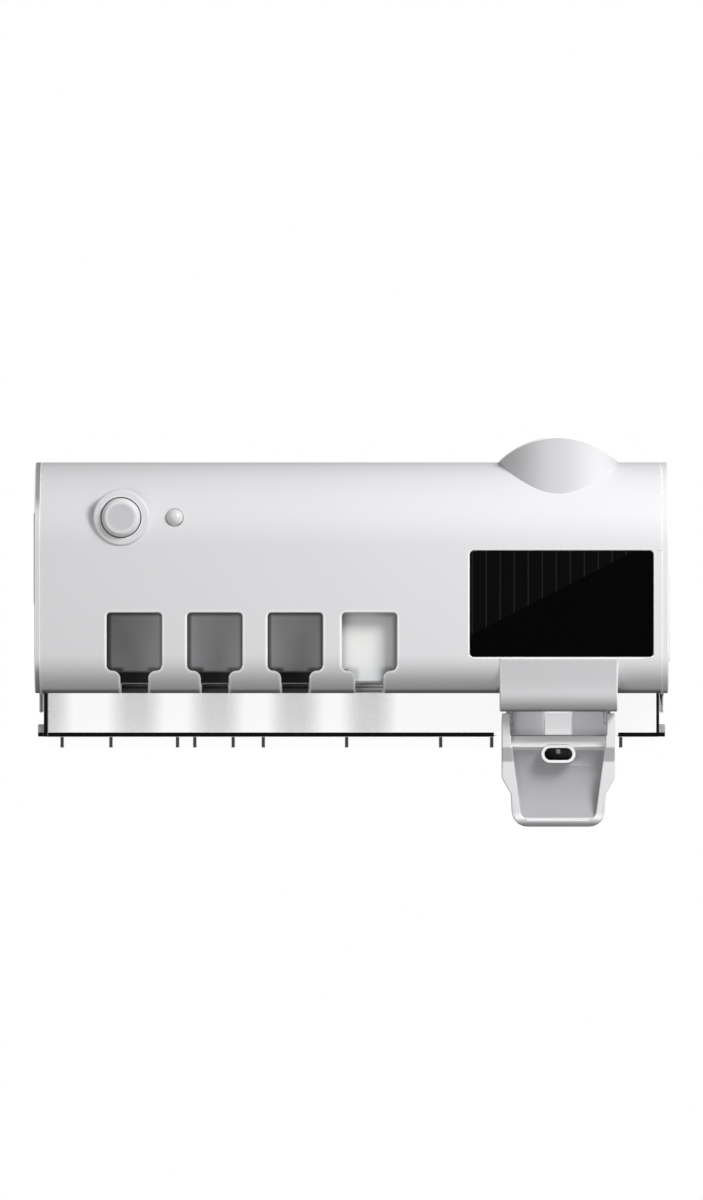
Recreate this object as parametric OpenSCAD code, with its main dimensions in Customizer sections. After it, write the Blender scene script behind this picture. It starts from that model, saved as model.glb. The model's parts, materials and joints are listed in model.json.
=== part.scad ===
// Wall-mounted toothpaste dispenser with brush bays, a sterilising chamber and a clear drip tray.
// Millimetres. X runs to the right seen from the front, Z runs up, and the wall is the plane y = 0.
// Depths are measured from the wall towards the front, so a depth d lies at y = -d.
// z = 0 is half-way up the casing.

/* [Casing] */
// Height of the casing without the chute and the tray
body_h = 95; // [93:1:105]
// Room between the collar's foot and the casing's front wall
front_gap = 2.8; // [2:0.1:12]
// Radius of the long rounding along the top
top_r = 34; // [30:1:36]
// Radius of the long rounding along the bottom
bottom_r = 16; // [14:1:18]
// Wall thickness of the moulded casing
wall = 2.2; // [1.8:0.1:2.6]
// Thickness of each end cap
cap_t = 2.5; // [2.3:0.1:3.5]
// Distance from the razor bay's centre to the solar panel
middle_w = 41.3; // [36:0.1:80]

/* [Wall plate] */
// Width of the wall plate
plate_w = 140; // [126:1:170]
// Height of the wall plate
plate_h = 54; // [50:1:60]
// Thickness of the wall plate
plate_t = 2.5; // [2:0.1:3]
// Thickness of the foam adhesive pad
pad_t = 1; // [0.6:0.1:1.4]
// Radius of the four screw holes
screw_hole_r = 2.25; // [1.75:0.05:2.75]
// Distance between the screw holes from side to side
screw_span_x = 60; // [40:1:80]
// Distance between the screw holes from top to bottom
screw_span_z = 34; // [28:1:38]
// Distance between the left and right hooks
hook_span = 100; // [96:1:102]
// Width of a hook
hook_w = 12; // [8:1:14]
// How far the unit is lifted to clear the hooks
lift_h = 12; // [11:0.5:13]

/* [Brush bays] */
// Width of a brush window
slot_w = 22.6; // [20:0.2:25]
// Width of the neck below a window
neck_w = 11.5; // [9:0.5:13]
// Height of the windows' top edge above the casing's bottom
slot_top = 33.1; // [30:0.5:38]
// Height of the shoulder between window and neck above the casing's bottom
slot_shoulder = 9.3; // [7.5:0.1:12]
// Distance from the left end to the first bay's centre
first_bay = 40.9; // [38:0.1:44]
// Distance between the first three bays
bay_pitch = 33; // [30:0.5:36]
// Room between the liner and the razor bay's blank
blank_gap = 1.7; // [0.6:0.1:6]

/* [Power button] */
// Distance from the left end to the button's centre
button_in = 35.5; // [32:0.5:40]
// Distance from the casing's top to the button's centre
button_down = 22.9; // [21:0.1:26]
// Radius of the button cap
button_r = 8; // [6.5:0.1:8.5]
// Wall of the raised boss round the button
boss_wall = 1.4; // [1.2:0.1:2.2]
// How far the button travels
button_travel = 1.2; // [0.6:0.1:1.4]
// Distance from the button to the sensor lens
lens_pitch = 22; // [19:0.5:26]
// Radius of the sensor lens
lens_r = 3.55; // [3:0.05:3.8]

/* [Solar panel] */
// Width of the solar panel
solar_w = 75; // [60:1:80]
// Height of the solar panel
solar_h = 43.3; // [34:0.1:44]
// Margin between the panel and the right end
solar_in = 6.4; // [5.5:0.1:12]
// Height of the panel's lower edge above the casing's bottom
solar_up = 15.1; // [14.5:0.1:17]

/* [Tube collar] */
// Distance from the right end to the centre of the tube
tube_in = 45; // [44:0.5:48]
// Depth of the tube's axis from the wall
tube_d = 38; // [37:0.5:40]
// Radius of the collar's bore
tube_r = 22.5; // [21:0.1:23]
// Wall of the collar
collar_wall = 2.1; // [1.6:0.1:2.4]
// How far the rim rises above the casing in the middle
rim_rise = 10.3; // [6:0.1:14]
// Length of the collar below the casing's top
collar_drop = 33.5; // [32:0.5:35]
// Radius of the hole that grips the tube's neck
neck_r = 5; // [4:0.1:6]

/* [Pump] */
// Radius of the pump bore
pump_r = 9; // [8:0.1:9.5]
// Wall of the pump cylinder
pump_wall = 2; // [1.5:0.1:2.4]
// Free length of the bore above the piston when it is pushed in
head_gap = 3.6; // [2:0.1:5]
// Radius of the piston rod
rod_r = 3.5; // [3:0.1:4]

/* [Push lever] */
// Width of the lever
lever_w = 46.5; // [42:0.5:47]
// How far the lever reaches below the casing's bottom
lever_drop = 54.9; // [50:0.1:60]
// Angle that the lever swings towards the wall
lever_swing = 14; // [8:1:14]
// Height of the chute housing below the casing's bottom
chute_drop = 7.5; // [7:0.1:9]
// Radius of the rounding along the chute's lower edge
chute_r = 8; // [6:0.5:12]
// Width of the outlet opening
outlet_w = 11.2; // [9:0.1:12]
// Height of the outlet opening
outlet_h = 4.75; // [3.5:0.05:5]
// Radius of the hinge pin
pin_r = 1.5; // [1.2:0.1:1.7]

/* [Drip tray] */
// Wall thickness of the clear tray
tray_t = 1.7; // [1.4:0.1:2]
// Height of the tray below the casing's bottom
tray_drop = 18; // [14:0.5:20]
// Height of the skirt and ribs below the tray's floor
skirt_h = 4.8; // [3:0.2:6]
// Room between the tray and the casing's underside
tray_room = 1.4; // [1:0.1:2.5]

/* [Fits] */
// Gap round pieces that are fixed together
fit = 0.15; // [0.1:0.05:0.2]
// Radial clearance of a shaft or pin that turns or slides
run = 0.05; // [0.03:0.01:0.08]
// Gap between pieces that move past each other
gap = 0.4; // [0.3:0.05:0.5]

/* [Hidden] */
$fn = 96;

// Casing planes
collar_r = tube_r + collar_wall;
foot_r = collar_r + 2.4;
liner_side = 3.6;
blank_side = 2.5;
last_pitch = slot_w + liner_side + blank_side + blank_gap;
body_w = first_bay + 2 * bay_pitch + last_pitch + middle_w + solar_w + solar_in;
body_d = tube_d + foot_r + front_gap + wall;
top = body_h / 2;
bottom = -body_h / 2;
half = body_w / 2;
inner_half = half - cap_t;
casing_back = 1.5;
top_axis_d = body_d - top_r;
top_axis_z = top - top_r;
bottom_axis_d = body_d - bottom_r;
nozzle_back = tube_d + 4.5;
lever_rear = nozzle_back + 1.5;
under_d = lever_rear + 2;

// Wall plate and hooks
plate_front = pad_t + plate_t;
plate_z = 5;
back_d = plate_front + 3.5;
back_front = back_d + wall;
hook_t = 3;
hook_tip = back_front + gap + 2;
hook_lip = 10;
hook_z = [plate_z - 21, plate_z + 11];

// Brush bays
bays = [for (i = [0:2]) -half + first_bay + i * bay_pitch];
razor_bay = bays[2] + last_pitch;
slot_corner_r = 1.5;
slot_lower_r = 2.2;
slot_shoulder_r = 3.2;
notch_d = under_d + 4;
rib_t = 2;
rib_h = 3.7;
slot_top_z = bottom + slot_top;
shoulder_z = bottom + slot_shoulder;

// Liner behind the brush bays
liner_t = 1.5;
liner_x0 = bays[0] - slot_w / 2 - liner_side;
liner_x1 = bays[2] + slot_w / 2 + liner_side;
liner_top = slot_top_z + 6.9;
liner_back = 30;
liner_front = body_d - wall - 0.3;
liner_low = bottom + 4.1;
lead_hole_r = 1.5;

// Button, sensor and main board
button_x = -half + button_in;
button_z = top - button_down;
lens_x = button_x + lens_pitch;
boss_front = body_d + 0.8;
button_proud = 2.5;
button_face = boss_front + button_proud;
cap_flange_t = 1.8;
cap_flange_r = button_r + 1.8;
boss_r = cap_flange_r + gap + boss_wall;
boss_step = 62.3 + body_d - 70;
cap_back = boss_step - 0.1 - cap_flange_t;
board_t = 1.6;
board_front = cap_back - 8.4;
board_back = board_front - board_t;
board_x0 = button_x - 23.5;
board_x1 = lens_x + 12.5;
board_z0 = button_z - 20.6;
board_z1 = button_z + 13;
board_post_x = [board_x0 + 3.5, board_x1 - 3.5];
board_post_z = [board_z0 + 3.8, board_z1 - 3.8];
switch_h = 3.5;
plunger_h = 0.9;
stem_end = board_front + switch_h + plunger_h + button_travel + 0.1;
sensor_h = 4.4;

// Solar panel
solar_x = half - solar_in - solar_w / 2;
solar_z = bottom + solar_up + solar_h / 2;
solar_r = 1.6;
solar_floor = body_d - 2;
solar_lead_x = solar_x - solar_w / 2 + 3.5;
cell_front = body_d - 1;
glass_front = body_d - 0.2;
pad_rim = 3;
pad_top = solar_z + solar_h / 2 + pad_rim;

// Dispenser
disp_x = half - tube_in;
collar_z0 = top - collar_drop;
rim_z = top + rim_rise;
rim_arc_r = (collar_r * collar_r + rim_rise * rim_rise) / (2 * rim_rise);
foot_t = 2;
block_w = lever_w + 1.6;
block_x0 = disp_x - block_w / 2;
block_x1 = disp_x + block_w / 2;
block_z = bottom - chute_drop;
block_in = block_w / 2 - wall;

// Lever
pivot_d = bottom_axis_d + 2;
pivot_z = block_z + 7;
lever_bottom = bottom - lever_drop;
lever_top = block_z - 0.6;
rear_drop = (pivot_d - lever_rear) * sin(lever_swing) + 0.5;
web_t = 2;
ledge_z = lever_top - 9.2;
band_z = ledge_z - 4.9;
wall_front = bottom_axis_d + 4;
rim_front = wall_front - 4.5;
band_front = bottom_axis_d;
plane_d = band_front - 3;
plane_top = block_z + 1.5;
pan_chord = band_z - lever_bottom - 2.4;
pan_sag = 5.5;
pan_r = (pan_chord * pan_chord / 4 + pan_sag * pan_sag) / (2 * pan_sag);
pan_axis_z = band_z - pan_chord / 2;
pan_axis_d = rim_front - pan_sag + pan_r;
side_t = 3.4;
side_in = lever_w / 2 - side_t;
ear_t = 2.8;
ear_out = block_in - gap - 0.05;
ear_r = 3.5;
arm = pivot_d - tube_d;
arm_tip_r = 2.2;
arm_x = 8;
arm_t = 4;
outlet_z = band_z - 2.8;

// Pump stack, from the lever upwards
stroke = arm * lever_swing * PI / 180;
piston_foot_z = pivot_z - 0.6;
piston_foot_t = 2;
piston_foot_r = arm_x + arm_t / 2 + 1;
spring_room = stroke + 6.2;
end_cap_t = 2;
pump_z0 = piston_foot_z + piston_foot_t + spring_room + end_cap_t;
head_h = 8;
head_z0 = pump_z0 + 7;
pump_z1 = head_z0 + head_h + stroke + head_gap;
pump_out = pump_r + pump_wall;
seal_h = 2.4;
rod_bore_r = 1.3;
spigot_r = 2;
flange_t = 2;
flange_d = 20;
cup_h = 7;
adaptor_h = 15;
adaptor_top = pump_z1 + flange_t + adaptor_h;
hose_r = 3.2;
nozzle_w = 11;
nozzle_low_front = nozzle_back + 4.5;
hose_bend = nozzle_back - tube_d;
port_z = pivot_z - 10;

// Frame that carries the pump and the collar
frame_t = 2;
frame_back = tube_d - 14;
frame_side = block_in - 0.45;
frame_low = block_z + 1;
frame_front = tube_d + 20;
post_r = 4;
post_x = frame_side - frame_t - 3.4;
flange_w = 2 * (frame_side - frame_t - 2.4);
post_z = [pump_z0 + 6, collar_z0 - 10];
screw_r = 1.4;
head_r = 2.8;
head_t = 1.8;

// Tray
tray_half = inner_half - 0.8;
tray_z0 = bottom - tray_drop;
tray_back = back_front + 0.8;
tray_front = under_d - tray_room;
tray_rim = bottom + 3.9;
tray_gap_x0 = block_x0 - 2.3;
tray_gap_x1 = block_x1 + 0.7;
tray_jog = frame_back - 0.4;
tray_rib_w = 2;
tray_ribs = [
    -half + 10.9, bays[0] - 9.9, bays[1] - 15.5, bays[1] - 8.4, bays[1] + 7.4, bays[2] - 13.2,
    razor_bay - 9.3, tray_gap_x0 - 22, tray_gap_x0 - tray_rib_w / 2, tray_gap_x1 + tray_rib_w / 2
];
nub_h = 5;
nub_w = 2.4;
nub_back = 20;
tab_h = 8.1;
tab_t = 1.5;
tab_d = [24, 34];

// Casing screws
lug_w = 10;
lug_h = 8;
lug_d = 17;
lugs = [-half + 18, -48, 48, half - 12.5];
cap_lug_x = inner_half - 5;
cap_lug_z = bottom + 9.5;

// Battery
cell_r = 9.1;
cell_l = 65;
cell_x = -2.5;
cell_z = top - 15.5;
cell_d = back_front + 4.6 + cell_r;
holder_t = 1.8;

// Charging port in the right end cap
port_d = 36;
port_mid_z = bottom + 31.9;
port_w = 9.4;
port_h = 3.6;
cover_w = 22;
cover_h = 38;
cover_t = 0.8;
cover_top = port_mid_z + cover_h / 2;
cover_axis_x = half - 1;
cover_axis_z = cover_top - 0.8;
barrel_r = 0.8;
cover_pin_r = 0.5;
charge_x = inner_half - 10.5;
rest_d = 6;
left_pad_z = bottom + body_h * 0.582;
chip = 8;
plug_w = 10;
plug_h = 5;
chip_t = 1.2;
board_parts = [[board_x0 + 1.5 * chip, chip, chip_t, board_z0 + chip, chip],
    [board_x1 - 2.2 * plug_w, plug_w, 2 * chip_t, board_z0 + 0.8 * plug_h, plug_h]];

// Leads
lead_r = 0.8;
front_lead_d = board_front + 8;
front_lead_z = board_z0 + 1.5 * chip;
charge_lead_d = back_front + 8.8;
charge_lead_x = 40;
uv_lead_x = liner_x0 + 8;
uv_lead_d = liner_back + 3.5;

// Points of an outline whose corners are rounded, each by its own radius
function turn(a) = a > 180 ? a - 360 : a < -180 ? a + 360 : a;
function rounded(p, r, n = 6) = [
    for (i = [0:len(p) - 1])
        let (
            c = p[i],
            u = (p[(i + len(p) - 1) % len(p)] - c) / norm(p[(i + len(p) - 1) % len(p)] - c),
            v = (p[(i + 1) % len(p)] - c) / norm(p[(i + 1) % len(p)] - c),
            w = acos(u * v),
            o = c + (u + v) / norm(u + v) * r[i] / sin(w / 2),
            s = c + u * r[i] / tan(w / 2) - o,
            e = c + v * r[i] / tan(w / 2) - o,
            a = atan2(s.y, s.x),
            da = turn(atan2(e.y, e.x) - a)
        )
        each (r[i] == 0 ? [c] : [for (k = [0:n]) o + r[i] * [cos(a + da * k / n), sin(a + da * k / n)]])
];
function box_points(w, h) = [[-w / 2, -h / 2], [w / 2, -h / 2], [w / 2, h / 2], [-w / 2, h / 2]];
function repeat(v, n) = [for (i = [1:n]) v];

// Extrudes an outline drawn in depth and height, from one X to another
module across(x0, x1) translate([x1, 0, 0]) rotate([90, 0, -90]) linear_extrude(x1 - x0) children();
// Extrudes an outline drawn in X and Z, from one depth to another
module ahead(d0, d1) translate([0, -d0, 0]) rotate([90, 0, 0]) linear_extrude(d1 - d0) children();
// Extrudes an outline drawn in X and depth, from one height to another
module upward(z0, z1) translate([0, 0, z0]) mirror([0, 1, 0]) linear_extrude(z1 - z0) children();
module box(x, d, z) translate([x[0], -d[1], z[0]]) cube([x[1] - x[0], d[1] - d[0], z[1] - z[0]]);
module rod_x(x0, x1, d, z, r) translate([x0, -d, z]) rotate([0, 90, 0]) cylinder(h = x1 - x0, r = r);
module rod_d(x, d0, d1, z, r) translate([x, -d0, z]) rotate([90, 0, 0]) cylinder(h = d1 - d0, r = r);
module rod_z(x, d, z0, z1, r) translate([x, -d, z0]) cylinder(h = z1 - z0, r = r);
// Turns an outline of radius and depth round an axis that points at the front
module turned_d(x, z) translate([x, 0, z]) rotate([90, 0, 0]) rotate_extrude() children();
// Turns an outline of radius and height round an upright axis
module turned_z(x, d) translate([x, -d, 0]) rotate_extrude() children();

// Tube swept along a helix round an upright axis
function helix(r, z0, z1, turns, n) = [
    for (i = [0:turns * n]) [r * cos(360 * i / n), r * sin(360 * i / n), z0 + (z1 - z0) * i / (turns * n)]
];
module coil(r, wire, z0, z1, turns) {
    n = 12;
    sides = 6;
    path = helix(r, z0 + wire, z1 - wire, turns, n);
    last = len(path) - 1;
    ring = [for (i = [0:last], k = [0:sides - 1])
        let (a = 360 * i / n, b = 360 * k / sides)
        path[i] + wire * [cos(a) * cos(b), sin(a) * cos(b), sin(b)]];
    walls = [for (i = [0:last - 1], k = [0:sides - 1])
        let (a = i * sides + k, b = i * sides + (k + 1) % sides)
        each [[a, a + sides, b], [b, a + sides, b + sides]]];
    caps = [[for (k = [0:sides - 1]) k], [for (k = [sides - 1:-1:0]) last * sides + k]];
    polyhedron(ring, concat(walls, caps));
}
// Wire of round section through the given points, each [x, depth, z]
module wire(points, r) {
    for (i = [0:len(points) - 2]) {
        a = points[i];
        b = points[i + 1];
        v = [b.x - a.x, a.y - b.y, b.z - a.z];
        translate([a.x, -a.y, a.z])
            rotate([0, acos(v.z / norm(v)), atan2(v.y, v.x)]) cylinder(h = norm(v), r = r, $fn = 24);
    }
    for (i = [1:1:len(points) - 2])
        translate([points[i].x, -points[i].y, points[i].z]) rotate([35, 25, 0]) sphere(r * 1.15, $fn = 24);
}
module screw_d(x, z, head, tip, towards = 1) {
    rod_d(x, min(head, tip), max(head, tip), z, screw_r);
    rod_d(x, towards > 0 ? head - head_t : head, towards > 0 ? head : head + head_t, z, head_r);
}

// Casing section in depth and height, drawn in from the outer face
module profile(inset, low, back = casing_back, low_r = bottom_r) difference() {
    translate([back, low + inset]) square([body_d - inset - back, top - low - 2 * inset]);
    difference() {
        translate([top_axis_d, top_axis_z]) square(top_r + 1);
        translate([top_axis_d, top_axis_z]) circle(top_r - inset, $fn = 180);
    }
    difference() {
        translate([body_d - low_r, low - 1]) square(low_r + 1);
        translate([body_d - low_r, low + low_r]) circle(low_r - inset, $fn = 120);
    }
}
// Outline of a brush window with its neck, centred on x
function slot_points(x) = [for (q = rounded([
    [-slot_w / 2, slot_top_z], [slot_w / 2, slot_top_z], [slot_w / 2, shoulder_z],
    [neck_w / 2, shoulder_z], [neck_w / 2, bottom - 2], [-neck_w / 2, bottom - 2],
    [-neck_w / 2, shoulder_z], [-slot_w / 2, shoulder_z]],
    [slot_corner_r, slot_corner_r, slot_lower_r, slot_shoulder_r, 0, 0, slot_shoulder_r, slot_lower_r]
)) q + [x, 0]];

module adhesive_pad() color("gray") difference() {
    ahead(0, pad_t) translate([0, plate_z])
        polygon(rounded(box_points(plate_w - 6, plate_h - 6), repeat(4, 4)));
    for (x = [-1, 1], z = [-1, 1])
        rod_d(x * screw_span_x / 2, -1, pad_t + 1, plate_z + z * screw_span_z / 2, screw_hole_r + 1.2);
}

module wall_plate() color("gainsboro") difference() {
    union() {
        ahead(pad_t, plate_front) translate([0, plate_z])
            polygon(rounded(box_points(plate_w, plate_h), repeat(5, 4)));
        for (x = [-1, 1] * hook_span / 2, z = hook_z) {
            box([x - hook_w / 2, x + hook_w / 2], [plate_front - 0.5, hook_tip], [z, z + hook_t]);
            box([x - hook_w / 2, x + hook_w / 2], [hook_tip - 2, hook_tip], [z, z + hook_lip]);
        }
    }
    for (x = [-1, 1], z = [-1, 1])
        rod_d(x * screw_span_x / 2, 0, plate_front + 1, plate_z + z * screw_span_z / 2, screw_hole_r);
}

module back_shell() color("whitesmoke") difference() {
    union() {
        box([-inner_half + fit, inner_half - fit], [back_d, back_front], [bottom + 0.4, top - wall - fit]);
        for (x = [-1, 1] * post_x, z = post_z)
            rod_d(disp_x + x, back_front - 0.5, frame_back, z, post_r);
    }
    for (x = [-1, 1] * hook_span / 2, z = hook_z)
        box([x - hook_w / 2 - 0.5, x + hook_w / 2 + 0.5], [back_d - 1, back_front + 1],
            [z - lift_h - 1.5, z + hook_t + run]);
    for (x = [-1, 1] * post_x, z = post_z)
        rod_d(disp_x + x, back_front + 1, frame_back + 1, z, screw_r + run);
    for (x = lugs) rod_d(x, back_d - 1, back_front + 1, top - wall - lug_h / 2, screw_r + run);
    for (x = [-1, 1] * cap_lug_x) rod_d(x, back_d - 1, back_front + 1, cap_lug_z, screw_r + run);
}

module chute_span(inset, low_inset = 0) {
    across(-inner_half - low_inset, block_x0 + low_inset) profile(inset, bottom, casing_back - low_inset);
    across(block_x0 + low_inset, block_x1 - low_inset)
        profile(inset, block_z, casing_back - low_inset, chute_r);
    across(block_x1 - low_inset, inner_half + low_inset) profile(inset, bottom, casing_back - low_inset);
}
module front_shell() color("white") difference() {
    union() {
        difference() {
            chute_span(0);
            chute_span(wall, wall);
            box([-half, half], [0, under_d], [block_z - 1, tray_rim + 1]);
            box([disp_x - block_in, disp_x + block_in], [0, bottom_axis_d], [block_z - 1, pivot_z - 2]);
        }
        for (x = [[-inner_half, block_x0 + wall], [block_x1 - wall, inner_half]])
            box(x, [under_d, under_d + rib_t], [bottom, bottom + rib_h]);
        box([solar_x - solar_w / 2 - pad_rim, solar_x + solar_w / 2 + pad_rim],
            [solar_floor - wall, body_d - wall + 0.5],
            [solar_z - solar_h / 2 - pad_rim, solar_z + solar_h / 2 + pad_rim]);
        rod_d(button_x, cap_back - 3, boss_front - 1, button_z, boss_r);
        turned_d(button_x, button_z) polygon([for (a = [90:-15:0])
            [boss_r - 1 + cos(a), boss_front - 1 + sin(a)], [boss_r, boss_front - 1.5],
            [0, boss_front - 1.5], [0, boss_front]]);
        intersection() {
            for (x = board_post_x, z = board_post_z) rod_d(x, board_front, body_d, z, 3);
            across(-inner_half, 0) profile(wall / 2, bottom);
        }
        for (x = lugs)
            box([x - lug_w / 2, x + lug_w / 2], [back_front, lug_d], [top - wall - lug_h, top - 1]);
    }
    for (x = concat(bays, [razor_bay])) ahead(notch_d, body_d + 1) polygon(slot_points(x));
    rod_z(disp_x, tube_d, collar_z0 + 12, top + 1, collar_r + fit);
    ahead(solar_floor, body_d + 1) translate([solar_x, solar_z])
        polygon(rounded(box_points(solar_w + 2 * fit, solar_h + 2 * fit), repeat(solar_r + fit, 4)));
    rod_d(solar_lead_x, solar_floor - wall - 1, body_d, solar_z, lead_hole_r);
    rod_d(button_x, cap_back - 4, boss_front + 1, button_z, button_r + gap);
    rod_d(button_x, cap_back - 4, boss_step, button_z, cap_flange_r + gap);
    rod_d(lens_x, cap_back - 4, body_d + 2, button_z, lens_r + fit);
    for (x = board_post_x, z = board_post_z) rod_d(x, board_front - 1, board_front + 6, z, screw_r + run);
    for (x = lugs) rod_d(x, back_front - 1, lug_d - 1, top - wall - lug_h / 2, screw_r + run);
    rod_x(disp_x - block_in - 1.4, disp_x + block_in + 1.4, pivot_d, pivot_z, pin_r + 0.02);
}

// End cap for the left side; the right one is its mirror image
module cap_blank() difference() {
    union() {
        across(-half, -inner_half) profile(0, bottom);
        intersection() {
            across(-inner_half - 0.5, -inner_half + 4) difference() {
                profile(wall + fit, bottom, back_front + fit);
                profile(wall + fit + 1.5, bottom, back_front + 3);
            }
            box([-half, 0], [0, body_d], [pad_top + 1, top]);
        }
        box([-inner_half - 0.5, -cap_lug_x + 4], [back_front, lug_d],
            [cap_lug_z - lug_h / 2, cap_lug_z + lug_h / 2]);
        box([-half + 1.3, -half + 1.3 + tab_t], tab_d, [bottom - tab_h, bottom + 1]);
    }
    rod_d(-cap_lug_x, back_front - 1, lug_d - 1, cap_lug_z, screw_r + run);
}
module left_end_cap() color("gainsboro") union() {
    cap_blank();
    across(-half - cover_t, -half + 0.5) translate([port_d, left_pad_z])
        polygon(rounded(box_points(cover_w, cover_h), repeat(3, 4)));
}
module right_end_cap() color("gainsboro") difference() {
    union() {
        mirror([1, 0, 0]) cap_blank();
        for (d = [-1, 1] * rest_d) rod_x(charge_x + 1.2, inner_half + 0.5, port_d + d, port_mid_z - 6, 2);
    }
    box([half - 2, half + 1], [port_d - cover_w / 2 - gap, port_d + cover_w / 2 + gap],
        [cover_axis_z - 1.3, cover_axis_z + 2.4]);
    rod_d(cover_axis_x, port_d - cover_w / 2 - gap - 1, port_d + cover_w / 2 + gap + 1, cover_axis_z,
        cover_pin_r + run);
    across(inner_half - 1, half + 1) translate([port_d, port_mid_z])
        polygon(rounded(box_points(port_w, port_h), repeat(1.2, 4)));
}

module casing_screws() color("silver") {
    for (x = lugs) screw_d(x, top - wall - lug_h / 2, back_d, lug_d - 3);
    for (x = [-1, 1] * cap_lug_x) screw_d(x, cap_lug_z, back_d, lug_d - 3);
}

module tube_collar() color("white") difference() {
    intersection() {
        union() {
            rod_z(disp_x, tube_d, collar_z0, rim_z + 1, collar_r);
            rod_z(disp_x, tube_d, collar_z0, collar_z0 + foot_t, foot_r);
        }
        rod_d(disp_x, 0, body_d, rim_z - rim_arc_r, rim_arc_r, $fn = 180);
    }
    rod_z(disp_x, tube_d, collar_z0 - 1, rim_z + 2, tube_r);
}

module dispenser_frame() color("lightgray") difference() {
    union() {
        box([disp_x - frame_side, disp_x + frame_side], [frame_back, frame_back + frame_t],
            [frame_low, collar_z0 - 0.5]);
        for (x = [disp_x - frame_side, disp_x + frame_side - frame_t]) {
            box([x, x + frame_t], [frame_back, frame_front], [pivot_z + 6, collar_z0 - 0.5]);
            box([x, x + frame_t], [frame_back, tube_d + 2], [frame_low, pivot_z + 7]);
        }
        box([disp_x - frame_side, disp_x + frame_side], [frame_back, frame_front],
            [pump_z1 - frame_t, pump_z1]);
        box([disp_x - foot_r - 0.8, disp_x + foot_r + 0.8], [back_front + 3.3, tube_d + foot_r],
            [collar_z0 - frame_t, collar_z0]);
    }
    rod_z(disp_x, tube_d, collar_z0 - frame_t - 1, collar_z0 + 1, tube_r + 1);
    rod_z(disp_x, tube_d, pump_z1 - frame_t - 1, pump_z1 + 1, pump_out + fit);
    translate([disp_x, -tube_d, adaptor_top])
        cylinder(h = collar_z0 - adaptor_top, r1 = neck_r + 3, r2 = tube_r + 1);
    for (x = [-1, 1] * post_x, z = post_z)
        rod_d(disp_x + x, frame_back - 1, frame_back + frame_t + 1, z, screw_r + 0.2);
}
module frame_screws() color("silver") for (x = [-1, 1] * post_x, z = post_z)
    screw_d(disp_x + x, z, frame_back + frame_t, back_front + 3, -1);

module pump_cylinder() color("ivory") difference() {
    union() {
        rod_z(disp_x, tube_d, pump_z0, pump_z1 + flange_t, pump_out);
        box([disp_x - flange_w / 2, disp_x + flange_w / 2], [tube_d - flange_d / 2, tube_d + flange_d / 2],
            [pump_z1, pump_z1 + flange_t]);
        rod_z(disp_x, tube_d, pump_z1, pump_z1 + flange_t + cup_h, pump_out);
    }
    rod_z(disp_x, tube_d, pump_z0 - 1, pump_z1, pump_r);
    rod_z(disp_x, tube_d, pump_z1 + flange_t, pump_z1 + flange_t + cup_h + 1, pump_r + run);
    rod_z(disp_x, tube_d, pump_z1 - 1, pump_z1 + flange_t + 1, 1.15);
    for (a = [0:60:300])
        rod_z(disp_x + 3.5 * cos(a), tube_d + 3.5 * sin(a), pump_z1 - 1, pump_z1 + flange_t + 1, 1);
}
module pump_end_cap() color("gainsboro") difference() {
    union() {
        rod_z(disp_x, tube_d, pump_z0 - end_cap_t, pump_z0, pump_out);
        rod_z(disp_x, tube_d, pump_z0, pump_z0 + 2, pump_r - 0.02);
    }
    rod_z(disp_x, tube_d, pump_z0 - end_cap_t - 1, pump_z0 + 3, rod_r + run);
}
module tube_adaptor() color("tomato") turned_z(disp_x, tube_d) translate([0, pump_z1 + flange_t])
    polygon([[3.5, 0], [pump_r, 0], [pump_r, cup_h], [pump_r + 1.5, cup_h], [pump_r + 1.5, cup_h + 2],
        [neck_r + 2.5, adaptor_h], [neck_r, adaptor_h], [neck_r, 3], [3.5, 3]]);
module inlet_valve() color("orange") turned_z(disp_x, tube_d) polygon([
    [0, pump_z1 - 0.9], [5.5, pump_z1 - 0.9], [5.5, pump_z1], [1.1, pump_z1], [1.1, pump_z1 + flange_t],
    [1.8, pump_z1 + flange_t], [1.1, pump_z1 + flange_t + 1.4], [0, pump_z1 + flange_t + 1.4]]);

module pump_piston() color("ivory") turned_z(disp_x, tube_d) difference() {
    polygon([
        [rod_bore_r, piston_foot_z - 4.4], [spigot_r, piston_foot_z - 4.4], [spigot_r, piston_foot_z],
        [piston_foot_r, piston_foot_z], [piston_foot_r, piston_foot_z + piston_foot_t],
        [rod_r, piston_foot_z + piston_foot_t], [rod_r, head_z0], [pump_r - run, head_z0],
        [pump_r - run, head_z0 + 2.8], [pump_r - 1.8, head_z0 + 2.8], [pump_r - 1.8, head_z0 + 2.8 + seal_h],
        [pump_r - run, head_z0 + 2.8 + seal_h], [pump_r - run, head_z0 + head_h],
        [rod_bore_r, head_z0 + head_h]]);
    translate([0, head_z0 + head_h - 1]) square([3.5, 2]);
}
module piston_seal() color("dimgray") turned_z(disp_x, tube_d)
    translate([pump_r - 1.75, head_z0 + 2.85]) square([1.72, seal_h - 0.1]);
module outlet_valve() color("orange") difference() {
    rod_z(disp_x, tube_d, head_z0 + head_h - 1, head_z0 + head_h - 0.2, 3.4);
    rod_z(disp_x, tube_d, head_z0 + head_h - 2, head_z0 + head_h, 0.6);
}
module return_spring() color("silver") translate([disp_x, -tube_d, 0])
    coil(rod_r + 2.5, 0.5, piston_foot_z + piston_foot_t + 0.05, pump_z0 - end_cap_t - 0.05, 5);

// Lever seen from the side, in depth and height
module lever_side() polygon([
    [wall_front, lever_top], [wall_front, band_z], [rim_front, band_z - 5.9], [rim_front, lever_bottom + 3],
    [rim_front - 2, lever_bottom], [rim_front - 5, lever_bottom], [lever_rear + 2, lever_bottom + 8],
    [lever_rear + 2, band_z - 6], [lever_rear, ledge_z - web_t - 2], [lever_rear, lever_top - rear_drop]]);
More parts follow.
